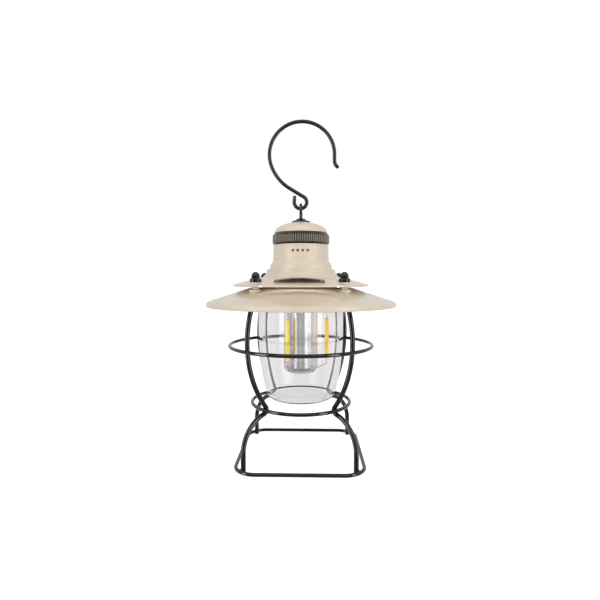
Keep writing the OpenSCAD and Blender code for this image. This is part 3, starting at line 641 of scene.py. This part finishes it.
def make_base_ring():
    half, z, wire = ring_size("base_ring")
    inset = half - BASE_CORNER
    flat = []
    for quarter in range(4):
        corner = inset * math.sqrt(2) * unit(45 + 90 * quarter)
        flat += arc(corner, BASE_CORNER, 90 * quarter, 90 * quarter + 90, 18)
    points = [(*p, z) for p in flat]
    shape = sweep(points, wire, (0, 0, 1), closed=True)
    piece("base_ring_wire", shape, BLACK, nodes=["base_ring"])


def weld_bead(radius, z, long, thick):
    """A flattened ball of weld between a leg and a ring."""
    ball = lathe(arc((0, 0), 1, -90, 90, 12), 24, closed=False)
    vertices = ball[0] * np.array([thick, long, thick]) + np.array([radius, 0, z])
    return vertices, ball[1]


def make_welds():
    wide_r, wide_z, wire = ring_size("wide_ring")
    narrow_r, narrow_z, _ = ring_size("narrow_ring")
    base_z = ring_size("base_ring")[1]
    sunk = 0.2
    beads = (
        weld_bead(FOOT_R + LEG_WIRE - sunk / 2, base_z + 0.5, long=2.3, thick=1.5),
        weld_bead(narrow_r - wire + sunk, narrow_z, long=2.4, thick=1.4),
        weld_bead(wide_r - wire + sunk, wide_z, long=2.4, thick=1.5),
    )
    shape = merged([at_angles(bead, STUD_ANGLES, 0) for bead in beads])
    piece("weld_beads", shape, BLACK)


# ---- Shade, housing and what fastens them ----


def shade_outline():
    """Section of the large shade: inner land, slope, rolled edge, and back along the underside."""
    slope, roll, roll_rise, wall = 18.2, 3, 1.5, 1.2
    centre = (SHADE_R - roll, SHADE_LOW + roll_rise)
    hem = (SHADE_R - wall / 2, SHADE_LOW + wall / 2)
    land_r, slope_r, hole_r = 43, 45.6, 38.2
    return [
        *rounded_land(hole_r, land_r, slope_r, SHADE_TOP),
        *arc(centre, roll, 90 - slope, 0, 14),
        *arc(hem, wall / 2, 0, -180, 10),
        *arc(centre, roll - wall, 0, 90 - slope, 12),
        *reversed(rounded_land(hole_r, land_r, slope_r, SHADE_TOP - wall)),
    ]


def rounded_land(hole_r, land_r, slope_r, top):
    """Flat inner land of a shade's face and the soft bend down into its slope."""
    run, drop = 2, 0.8
    start, corner, end = (np.array(p) for p in ((land_r - run, top), (land_r, top), (slope_r, top - drop)))
    return [(hole_r, top), *corner_curve(start, corner, end, 6)]


def seat_pads(low, high):
    """Round pads that the studs go through."""
    edge = 0.35
    pad = rounded([(LEG_WIRE, low), (SEAT_R, low), (SEAT_R, high), (LEG_WIRE, high)], edge)
    return at_angles(lathe(pad, 48), STUD_ANGLES, STUD_R)


def make_shade():
    shape = merged([lathe(shade_outline(), 256), seat_pads(SHADE_SEAT_LOW, SHADE_SEAT_HIGH)])
    piece("lower_shade_shell", shape, CREAM, nodes=["lower_shade"])


def make_spacers():
    outer, edge = 2.9, 0.25
    low, high = SHADE_SEAT_HIGH, BRIM_SEAT_LOW
    corners = [(STUD_BORE, low), (outer, low), (outer, high), (STUD_BORE, high)]
    shape = at_angles(lathe(rounded(corners, edge), 40), STUD_ANGLES, STUD_R)
    piece("spacer_tubes", shape, CREAM, nodes=["spacers"])


def housing_outline():
    """Section of the housing: mast, deck, neck, collar, flare, brim, and back up inside."""
    rim = 0.8
    deck = 1.8
    neck_edge = 0.5
    foot_x, foot_z = FLARE_FOOT
    flare = arc(FLARE_CENTRE, FLARE_BEND, 180, 258, 16)
    inner_flare = arc(FLARE_CENTRE, FLARE_BEND + HOUSING_WALL, 255, 190, 12)
    collar_r = 26.6
    neck = rounded_run([(NECK_BASE_R, NECK_Z, 0.6), (collar_r - 0.6, 162.4, 0.8), (collar_r, COLLAR_Z, 0.5)])
    return [
        (MAST_BORE, NECK_TOP - deck), (MAST_BORE, MAST_TOP), (MAST_R, MAST_TOP), (MAST_R, NECK_TOP),
        *arc((NECK_R - neck_edge, NECK_TOP - neck_edge), neck_edge, 90, 0, 5),
        *neck,
        *flare,
        (foot_x - 0.6, foot_z + 0.25), (foot_x + 1.0, foot_z - 0.35),
        *arc((BRIM_R - rim, BRIM_LOW + rim), rim, 70, -75, 12),
        (BRIM_R - HOUSING_WALL, BRIM_LOW), (BRIM_R - HOUSING_WALL, BRIM_LOW + 0.5),
        (foot_x, foot_z - HOUSING_WALL),
        *inner_flare,
        (collar_r - HOUSING_WALL, COLLAR_Z - HOUSING_WALL), (collar_r - 2.2, 161.8),
        (NECK_BASE_R - HOUSING_WALL, NECK_Z - 0.4), (NECK_R - HOUSING_WALL, NECK_TOP - deck),
    ]


def rounded_run(points):
    """A run of corners, each rounded by its own amount, that comes from above and leaves outwards."""
    (first_r, first_z, _), (last_r, last_z, _) = points[0], points[-1]
    before, after = (first_r - 0.1, first_z + 3, 0), (last_r + 1.5, last_z, 0)
    return rounded([before, *points, after], 0)[1:-1]


def make_housing():
    lug_x = BARREL_L / 2 + 1
    lug_size = (1.6, 4.2, 3.9)
    lug = block(lug_size, (0, HINGE_Y - 1, HINGE_Z - 0.65), 0.5)
    lugs = [moved(lug, x=side * lug_x) for side in (-1, 1)]
    pads = seat_pads(BRIM_SEAT_LOW, BRIM_SEAT_HIGH)
    piece("housing_pads", merged([*lugs, pads]), CREAM)
    made = piece("housing_shell", lathe(housing_outline(), 256), CREAM, nodes=["housing"])
    corners = [(0, BRIM_SEAT_HIGH), (SEAT_R, BRIM_SEAT_HIGH), (SEAT_R, NUT_TOP), (0, NUT_TOP)]
    seat = lathe(corners, 48, closed=False)
    port_depth, dot_depth = 8, 6
    port = block((PORT_W, port_depth, PORT_H), (0, NECK_R, PORT_Z), 0.8)
    corners = [(0, 0), (INDICATOR_R, 0), (INDICATOR_R, dot_depth), (0, dot_depth)]
    dot = lying(lathe(corners, 32, closed=False), "y")
    dots = [moved(dot, x=x, y=-NECK_R - dot_depth / 2, z=INDICATOR_Z) for x in INDICATOR_X]
    cut(made, [at_angles(seat, STUD_ANGLES, STUD_R), port, *dots])


def make_nut_collars():
    """Stepped rings under the cap nuts."""
    collar = [
        (STUD_BORE, 0), (COLLAR_R - 0.25, 0), (COLLAR_R, 0.4), (COLLAR_R, 2.3), (COLLAR_R - 0.55, 3),
        (COLLAR_R - 1.15, COLLAR_H), (STUD_BORE, COLLAR_H),
    ]
    shape = at_angles(lathe(rounded(collar, 0.2, 3), 48), STUD_ANGLES, STUD_R, BRIM_SEAT_HIGH)
    piece("nut_collar_rings", shape, NUT_BLACK, nodes=["nut_collars"])


def make_cap_nuts():
    """Domed hexagon nuts on the studs, over the small brim."""
    base = BRIM_SEAT_HIGH + COLLAR_H
    dome_r = 3.1
    outline = [
        (0, 0), (NUT_HEX_R - 0.5, 0), (NUT_HEX_R, 0.35), (NUT_HEX_R, NUT_HEX_H - 0.45),
        (dome_r + 0.02, NUT_HEX_H),
        *arc((0, NUT_TOP - base - dome_r), dome_r, 6, 90, 14),
    ]

    def hexagon(radius, height, angle):
        flat = NUT_HEX_R * math.cos(math.pi / 6) / np.cos(np.mod(angle, math.pi / 3) - math.pi / 6)
        return np.where(height < NUT_HEX_H - 0.01, np.minimum(radius, flat), radius)

    nut = lathe(outline, 96, hexagon, closed=False)
    nuts = at_angles(nut, STUD_ANGLES, STUD_R, base)
    piece("cap_nut_bodies", nuts, NUT_BLACK, nodes=["cap_nuts"])


def make_washers():
    """Washers on the studs, under the large shade."""
    washer_r, washer_t = 4.5, 0.8
    low, high = SHADE_SEAT_LOW - washer_t, SHADE_SEAT_LOW
    washer = [(STUD_BORE, low), (washer_r, low), (washer_r, high), (STUD_BORE, high)]
    shape = at_angles(lathe(rounded(washer, 0.15, 3), 48), STUD_ANGLES, STUD_R)
    piece("washer_rings", shape, NUT_BLACK, nodes=["shade_washers"])


def plate_outline(inset):
    """Outline of the nameplate, moved inwards, from its left end's middle and round by the bottom."""
    reach = PLATE_HALF - PLATE_END
    end_z = PLATE_LOW + PLATE_END
    end_r = max(PLATE_END - inset, 0.05)
    arch_z = PLATE_TOP - PLATE_ARCH
    low = [(x, PLATE_LOW + inset) for x in np.linspace(-reach, reach, 31)[1:-1]]
    high = [(x, arch_z + math.sqrt((PLATE_ARCH - inset) ** 2 - x * x)) for x, _ in reversed(low)]
    right = arc((reach, end_z), end_r, -90, 90, 7)
    left = arc((-reach, end_z), end_r, 90, 270, 7)
    return [*left[4:], *low, *right, *high, *left[:4]]


def make_nameplate():
    """The blank arched plate: rounded edge, rubbed raised border and a sunk, dark, empty field."""
    border, edge, sink = 0.55, 0.22, 0.28
    steps = (
        (0, PLATE_R - PLATE_T), (0, PLATE_R - edge), (0.3 * edge, PLATE_R - 0.3 * edge), (edge, PLATE_R),
        (border, PLATE_R), (border + 0.12, PLATE_R - 0.06), (border + 0.2, PLATE_R - sink),
    )
    shape = curved_plate([(plate_outline(inset), radius) for inset, radius in steps])
    piece("nameplate_blank", shape, RUBBED_BRONZE, nodes=["nameplate"], sharp=40)
    field = [(plate_outline(border + 0.15), PLATE_R - sink + lift) for lift in (-0.1, 0.03)]
    piece("nameplate_field", curved_plate(field), BRONZE, sharp=40)


def make_rivets():
    """Round heads at the two ends of the nameplate."""
    head_r, crown_r, crown_drop, seat_depth = 1.2, 1.34, 0.6, 0.14
    crown = arc((0, -crown_drop), crown_r, 26, 90, 8)
    head = lathe([(0, 0), (0.55, 0), (head_r, 0), *crown], 32, closed=False)
    shape = at_angles(lying(head, "x"), RIVET_ANGLES, PLATE_R - seat_depth, RIVET_Z)
    piece("nameplate_rivet_heads", shape, RUBBED_BRONZE, nodes=["nameplate_rivets"])


# ---- Dimmer ring, dome and port cover ----


def make_dimmer_ring():
    """Dark body with two glossy bevels, an inner web and a hub, and the grip ribs round it. The ribs are the
    body's dark plastic; their lighter grey is a painted highlight on the rib tops.
    """
    rib_low, rib_high = DIMMER_LOW + 1.2, DIMMER_TOP - 2.3
    ribs, depth, width = 80, 1.1, 1.05
    valley_r = DIMMER_R - depth
    low_wall_r, high_wall_r = 21.4, 21
    hub_r, hub_low, hub_high = 11, DIMMER_LOW + 0.9, DIMMER_TOP - 1.2
    bore_r = MAST_R + 0.05
    web_low = DIMMER_LOW + 5.1
    web_high = web_low + 1.6
    outline = [
        # Lower bevel, the valley behind the ribs, and upper bevel.
        (low_wall_r, DIMMER_LOW), (23.2, DIMMER_LOW), (23.45, DIMMER_LOW + 0.08),
        (DIMMER_R - 0.15, rib_low - 0.45), (DIMMER_R - 0.02, rib_low - 0.2), (DIMMER_R - 0.1, rib_low),
        (valley_r, rib_low), (valley_r, rib_high),
        (DIMMER_R - 0.1, rib_high), (DIMMER_R - 0.02, rib_high + 0.2), (DIMMER_R - 0.2, rib_high + 0.45),
        (22.9, DIMMER_TOP - 0.25), (22.6, DIMMER_TOP), (high_wall_r, DIMMER_TOP),
        # Inside: web, hub, and back out under the web.
        (high_wall_r, web_high), (hub_r, web_high), (hub_r, hub_high), (bore_r, hub_high),
        (bore_r, hub_low), (hub_r, hub_low), (hub_r, web_low), (low_wall_r, web_low),
    ]
    body = lathe(outline, 256)
    piece("dimmer_body", body, DIMMER_EDGE, "dimmer", ["dimmer_ring"], sharp=40)

    root, lap, edge = 0.3, 0.2, 0.22
    rib_size = (depth + root, width, rib_high - rib_low + lap)
    rib = block(rib_size, (0, 0, (rib_low + rib_high) / 2), edge)
    shape = at_angles(rib, np.linspace(0, 360, ribs, endpoint=False), DIMMER_R - (depth + root) / 2)
    # The ribs' light grey is a painted highlight, not a second plastic.
    piece("dimmer_ribs", shape, DIMMER_RIB_HIGHLIGHT, "dimmer", sharp=40)


def dome_curve(radius, rise, low, top):
    """Half-ellipse from its edge up to a flat crown."""
    last = math.degrees(math.asin((top - low) / rise))
    return [(radius * unit(a)[0], low + rise * unit(a)[1]) for a in np.linspace(0, last, 28)]


def make_dome():
    low, rise = DIMMER_TOP + 0.3, 9.4
    wall, rise_inside, crown = 1.6, rise - 1.8, DOME_TOP - 1.4
    outer = dome_curve(DOME_R, rise, low, DOME_TOP)
    inner = dome_curve(DOME_R - wall, rise_inside, low, crown)
    hole = SHANK_R + 0.2
    shell = [(hole, DOME_TOP), *reversed(outer), *inner, (hole, crown)]
    bore_r, hub_r, hub_top = MAST_R + 0.05, MAST_R + 2.6, DOME_TOP - 2
    hub = [(bore_r, DOME_HUB_LOW), (hub_r, DOME_HUB_LOW), (hub_r, hub_top), (bore_r, hub_top)]
    shape = merged([lathe(shell, 192), lathe(hub, 96)])
    piece("dome_shell", shape, CREAM, nodes=["dome_cap"])


def flap_outline(inset):
    """Outline of the port cover's flap, moved inwards: round above and square below."""
    half, corner = 7 - inset, 2 - inset
    low, high = HINGE_Z + 1.5 + inset, PORT_Z + 4.6 - inset
    foot = 0.5
    bottom = [(x, low) for x in np.linspace(foot - half, half - foot, 15)]
    top = [(x, high) for x in np.linspace(half - corner, corner - half, 15)]
    middle = (low + high) / 2
    right = [
        *arc((half - foot, low + foot), foot, -90, 0, 3)[1:],
        (half, middle),
        *arc((half - corner, high - corner), corner, 0, 90, 5)[:-1],
    ]
    left = [(-x, z) for x, z in reversed(right)]
    split = len(left) - 4
    return [*left[split:], *bottom, *right, *top, *left[:split]]


def make_port_cover():
    inner, outer, edge = NECK_R + 0.9, NECK_R + 2.1, 0.35
    steps = ((0, inner), (0, outer - edge), (0.12, outer - 0.1), (edge, outer))
    vertices, faces = curved_plate([(flap_outline(inset), radius) for inset, radius in steps])
    flap = vertices * np.array([1, -1, 1]), faces
    tongue_size, grip_size = (5.2, 1.6, 2.6), (4, 0.9, 0.9)
    tongue = block(tongue_size, (0, HINGE_Y, HINGE_Z + 1.1), 0.4)
    grip = block(grip_size, (0, outer + 0.1, PORT_Z + 3.4), 0.35)
    bore, barrel_r = 0.65, 1.15
    half = BARREL_L / 2
    barrel = rounded([(bore, -half), (barrel_r, -half), (barrel_r, half), (bore, half)], 0.15)
    hinge = moved(lying(lathe(barrel, 40), "x"), y=HINGE_Y, z=HINGE_Z)
    shape = merged([flap, tongue, grip, hinge])
    piece("port_cover_flap", shape, RUBBER, "port_cover", ["port_cover"])


# ---- Globe and light column ----


def globe_side(inset):
    """Side of the globe and its round bottom edge, moved inwards by `inset`."""
    low_r, low_z = GLOBE_SHOULDER
    bend = ((GLOBE_R - low_r) ** 2 + (GLOBE_BELLY_Z - low_z) ** 2) / (2 * (GLOBE_R - low_r))
    slope = math.degrees(math.asin((GLOBE_BELLY_Z - low_z) / bend))
    corner = (low_z - GLOBE_LOW) / (1 - math.sin(math.radians(slope)))
    centre = (low_r - corner * math.cos(math.radians(slope)), GLOBE_LOW + corner)
    side = arc((GLOBE_R - bend, GLOBE_BELLY_Z), bend - inset, 0, -slope, 40)
    return [*side, *arc(centre, corner - inset, -slope, -90, 24)[1:]]


def make_globe():
    lip_low, edge = GLOBE_TOP - LIP_H, 0.7
    outline = [
        (GLOBE_R - GLOBE_WALL, GLOBE_TOP),
        *arc((LIP_R - edge, GLOBE_TOP - edge), edge, 90, 0, 6),
        *arc((LIP_R - edge, lip_low + edge), edge, 0, -90, 6),
        (GLOBE_R + 0.5, lip_low), (GLOBE_R + 0.1, lip_low - 0.15), (GLOBE_R, lip_low - 0.6),
        *globe_side(0),
        (0, GLOBE_LOW), (0, GLOBE_LOW + GLOBE_WALL),
        *reversed(globe_side(GLOBE_WALL)),
    ]
    piece("globe_glass", lathe(outline, 256), GLASS, nodes=["globe"], sharp=60)


def make_column():
    """Drawn can with a rounded bottom, and the flange that screws to the chassis."""
    bend = (COLUMN_R - COLUMN_CORNER, COLUMN_LOW + COLUMN_CORNER)
    flange_t = 1.5
    flange_low = COLUMN_TOP - flange_t
    outline = [
        (COLUMN_R - COLUMN_WALL, COLUMN_TOP), (TUBE_FLANGE_R, COLUMN_TOP), (TUBE_FLANGE_R, flange_low),
        (COLUMN_R, flange_low),
        *arc(bend, COLUMN_CORNER, 0, -90, 20),
        (0, COLUMN_LOW), (0, COLUMN_LOW + COLUMN_WALL),
        *arc(bend, COLUMN_CORNER - COLUMN_WALL, -90, 0, 12),
    ]
    piece("column_can", lathe(outline, 192), SATIN, nodes=["column_tube"])


def make_filaments():
    """Phosphor rods that stand round the column."""
    rod = [
        *arc((0, FILAMENT_LOW + FILAMENT_R), FILAMENT_R, -90, 0, 8),
        *arc((0, FILAMENT_HIGH - FILAMENT_R), FILAMENT_R, 0, 90, 8),
    ]
    shape = at_angles(lathe(rod, 40, closed=False), FILAMENT_ANGLES, FILAMENT_RING)
    piece("filament_rods", shape, PHOSPHOR, nodes=["filaments"])


def make_leads():
    """The filaments' metal ends, and the leads that hold them from above and from the column."""
    across = (0, 1, 0)
    inside, halfway = 0.4, 128
    top = sweep([(0, 0, z) for z in (FILAMENT_HIGH - inside, halfway, LEAD_TOP)], LEAD_R, across, sides=16)
    reach, drop = FILAMENT_RING - COLUMN_R + inside, 3.6
    crank = [
        (0, 0, FILAMENT_LOW + inside), (0, 0, LEAD_ELBOW + 1.2), (-0.12, 0, LEAD_ELBOW + 0.5),
        (-0.55, 0, LEAD_ELBOW - 0.1), (-1.3, 0, LEAD_ELBOW - 0.55), (-reach, 0, LEAD_ELBOW - drop),
    ]
    low = sweep(crank, LEAD_R, across, sides=16)
    cup_r, cup_h = 0.75, 1.3
    cup = rounded([(LEAD_R, 0), (cup_r, 0), (cup_r, cup_h), (LEAD_R, cup_h)], 0.2, 3)
    cups = [moved(lathe(cup, 24), z=z) for z in (FILAMENT_LOW - 1.05, FILAMENT_HIGH - 0.25)]
    shape = at_angles(merged([top, low, *cups]), FILAMENT_ANGLES, FILAMENT_RING)
    piece("filament_wires", shape, STEEL, nodes=["filament_leads"])


# ---- Eye and hook ----


def make_eye():
    flange = [
        (SHANK_R + 0.05, FLANGE_LOW), (FLANGE_R, FLANGE_LOW, 0.1), (FLANGE_R - 0.2, FLANGE_LOW + 0.7, 0.4),
        (FLANGE_R - 1, FLANGE_LOW + 1.4, 0.5), (4.9, FLANGE_LOW + 2, 0.5), (4.3, FLANGE_LOW + 2.6, 0.5),
        (3.5, FLANGE_LOW + 3.4, 0.4), (SHANK_R + 0.05, FLANGE_TOP),
    ]
    piece("eye_flange_disc", lathe(rounded(flange, 0.05), 96), BLACK, nodes=["eye_flange"])

    shank_high, chamfer = EYE_Z - EYE_R, 0.2
    outline = [
        (0, SHANK_LOW), (SHANK_R - chamfer, SHANK_LOW), (SHANK_R, SHANK_LOW + chamfer),
        (SHANK_R, shank_high), (0, shank_high),
    ]
    shank = lathe(outline, 40, closed=False)
    centre = np.array([0, EYE_Z])
    circle = [(0, *(EYE_R * unit(a) + centre)) for a in np.linspace(0, 360, 72, endpoint=False)]
    ring = sweep(circle, EYE_WIRE, (1, 0, 0), closed=True)
    piece("eye_bolt_ring", merged([shank, ring]), BLACK, "eye", ["eye_bolt"])


def hook_path():
    """Points of the hook in the XZ plane, from its tip over the large bend to the end of its loop."""
    neck_slope = 180 - HOOK_SIDE_TURN - HOOK_NECK_TURN
    along, normal = unit(-neck_slope), unit(90 - neck_slope)
    side_out = unit(90 + HOOK_SIDE_TURN)
    side_end = np.array([HOOK_X, HOOK_Z]) + HOOK_R * side_out
    loop_centre = np.array([LOOP_X, EYE_Z + LOOP_R])
    neck_bend = ((side_end - loop_centre) @ normal - LOOP_R) / (1 + side_out @ normal)
    neck_end = side_end - neck_bend * (side_out + normal)
    neck_length = (loop_centre - neck_end) @ along
    tip = np.array([HOOK_X + HOOK_R + TIP_BEND, HOOK_Z - TIP_DROP]) - TIP_BEND * unit(TIP_TURN)
    start = tip + TIP_STRAIGHT * unit(TIP_TURN - 90)
    segments = (
        (TIP_STRAIGHT, 0), (TIP_BEND, -TIP_TURN), (TIP_DROP, 0), (HOOK_R, 90 + HOOK_SIDE_TURN),
        (neck_bend, HOOK_NECK_TURN), (neck_length, 0), (LOOP_R, -LOOP_TURN), (LOOP_END, 0),
    )
    return bent(segments, start, 90 + TIP_TURN)


def make_hook():
    points = [(x, 0, z) for x, z in hook_path()]
    shape = sweep(points, HOOK_WIRE, (0, -1, 0), edge=HOOK_WIRE * 0.9)
    piece("hook_wire", shape, BLACK, "hook", ["hook"])


# ---- Studio: floor, sky, lights and camera ----

# Brightness of the sky: where it is seen, and from front to back on matt surfaces and in reflections.
SEEN_SKY = 1.05
SKY_GLOW = (0.62, 0.42)
SKY_IN_MIRROR = (0.2, 0.85)

# The sky goes from its front level to its back level between these values of a direction's y.
SKY_TURN = (-1, 0.3)

# Middle of the lantern, which the lamps face, and the height of the gap between its brims, in metres.
LAMP_TARGET = (0, 0, 0.12)
BRIM_GAP = 0.144


def make_floor():
    """A wide pale floor with a faint mottle, which glows to match the sky and only shows directly."""
    far = 9000
    corners = np.array([(-far, -far, 0), (far, -far, 0), (far, far, 0), (-far, far, 0)])
    floor = mesh_object("floor", (corners, [(0, 1, 2, 3)]))
    look = Look("pale_floor", Roughness=0.9, Specular_IOR_Level=0.0)
    look.colour(look.noise(8), srgb(246, 246, 246), srgb(250, 250, 250))
    look.shader.inputs["Emission Color"].default_value = (1, 1, 1, 1)
    look.shader.inputs["Emission Strength"].default_value = 0.8
    floor.data.materials.append(look.material)
    floor.visible_glossy = False
    floor.visible_diffuse = False
    floor.visible_transmission = False


def make_sky():
    """White where it is seen, brighter in front on matt surfaces, and darker in front in reflections."""
    world = bpy.data.worlds.new("studio")
    bpy.context.scene.world = world
    world.use_nodes = True
    world.cycles.sampling_method = "NONE"
    tree = world.node_tree
    rays = tree.nodes.new("ShaderNodeLightPath")
    direction = tree.nodes.new("ShaderNodeTexCoord")
    split = tree.nodes.new("ShaderNodeSeparateXYZ")
    tree.links.new(direction.outputs["Generated"], split.inputs["Vector"])
    mirrored = front_to_back(tree, split.outputs["Y"], SKY_IN_MIRROR)
    glow = front_to_back(tree, split.outputs["Y"], SKY_GLOW)
    level = pick(tree, rays.outputs["Diffuse Depth"], SEEN_SKY, glow)
    level = pick(tree, rays.outputs["Glossy Depth"], level, mirrored)
    sky = tree.nodes["Background"]
    sky.inputs["Color"].default_value = (1, 1, 1, 1)
    tree.links.new(level, sky.inputs["Strength"])


def front_to_back(tree, depth, levels):
    """A brightness that goes from the front level to the back one over the sky's depth."""
    ramp = tree.nodes.new("ShaderNodeMapRange")
    set_span(ramp, SKY_TURN, levels)
    tree.links.new(depth, ramp.inputs["Value"])
    return ramp.outputs["Result"]


def pick(tree, choice, otherwise, chosen):
    """A mix of two values, each a number or a socket, by a third."""
    mix = tree.nodes.new("ShaderNodeMix")
    tree.links.new(choice, mix.inputs["Factor"])
    for label, value in (("A", otherwise), ("B", chosen)):
        if isinstance(value, bpy.types.NodeSocket):
            tree.links.new(value, mix.inputs[label])
        else:
            mix.inputs[label].default_value = value
    return mix.outputs["Result"]


def pieces_in(name, looks, inside):
    """A collection of the pieces that wear one of the looks, or of all the others."""
    group = bpy.data.collections.new(name)
    for item in bpy.data.objects:
        if item.type == "MESH" and (item.data.materials[0] in looks) == inside:
            group.objects.link(item)
    return group


def softbox(name, place, size, radiance, lights, mirrored=True, target=LAMP_TARGET):
    """A rectangular lamp that lights one group of pieces, as bright as its image in a mirror."""
    lamp = bpy.data.lights.new(name, "AREA")
    lamp.shape = "RECTANGLE"
    lamp.size, lamp.size_y = size
    lamp.energy = radiance * math.pi * size[0] * size[1]
    holder = bpy.data.objects.new(name, lamp)
    holder.location = place
    holder.rotation_euler = (Vector(target) - Vector(place)).to_track_quat("-Z", "Y").to_euler()
    holder.light_linking.receiver_collection = lights
    holder.visible_camera = False
    holder.visible_glossy = mirrored
    holder.visible_transmission = mirrored
    bpy.context.scene.collection.objects.link(holder)


def make_lights():
    """Lamps for three groups of pieces.

    Broad softboxes light the pale pieces, with a small lamp in the gap between the brims, and three more
    light the column and the globe. Narrow strips draw lines on the black pieces.
    """
    blacks = [BLACK, NUT_BLACK]
    pale = pieces_in("pale_pieces", blacks, False)
    black = pieces_in("black_pieces", blacks, True)
    column = pieces_in("column_and_globe", [SATIN, GLASS], True)
    softbox("left_softbox", (-0.68, -0.66, 0.35), (0.45, 0.95), 1.8, pale)
    softbox("right_softbox", (0.79, -0.62, 0.35), (0.8, 0.95), 1.45, pale)
    softbox("top_softbox", (0.0, -0.1, 1.3), (1.3, 1.1), 0.42, pale)
    softbox("front_softbox", (0.0, -1.2, 0.2), (0.7, 0.5), 1.4, pale, mirrored=False)
    gap_place, gap_target = (0, -0.05, BRIM_GAP), (0, 0, BRIM_GAP)
    softbox("gap_filler", gap_place, (0.06, 0.002), 4.5, pale, mirrored=False, target=gap_target)
    softbox("column_left_softbox", (-0.55, -0.83, 0.2), (0.3, 1.1), 1.2, column)
    softbox("column_right_softbox", (0.66, -0.75, 0.2), (0.6, 1.1), 1.1, column)
    softbox("column_front_softbox", (0.0, -1.1, 0.2), (0.6, 1.1), 0.5, column)
    softbox("left_strip", (-0.82, -0.48, 0.2), (0.3, 1.1), 6, black)
    softbox("right_strip", (0.79, -0.62, 0.2), (0.3, 1.1), 5.5, black)
    softbox("top_strip", (0.0, -0.75, 0.75), (1.2, 0.3), 3, black)


def make_camera():
    """The photograph's view, from a fit to the lantern's outline."""
    camera = bpy.data.cameras.new("camera")
    camera.sensor_width = 36
    camera.lens = 26.97
    camera.clip_start, camera.clip_end = 0.01, 50
    holder = bpy.data.objects.new("camera", camera)
    holder.location = (0.00846, -0.3849, 0.151)
    holder.rotation_euler = (math.radians(90 - 2.805), 0, math.radians(1.374))
    bpy.context.scene.collection.objects.link(holder)
    bpy.context.scene.camera = holder
    bpy.context.scene.view_settings.view_transform = "Standard"


make_camera()
dress_cad_nodes()
make_legs()
make_rings()
make_base_ring()
make_welds()
make_shade()
make_spacers()
make_housing()
make_nut_collars()
make_cap_nuts()
make_washers()
make_nameplate()
make_rivets()
make_dimmer_ring()
make_dome()
make_port_cover()
make_globe()
make_column()
make_filaments()
make_leads()
make_eye()
make_hook()
make_floor()
make_sky()
make_lights()
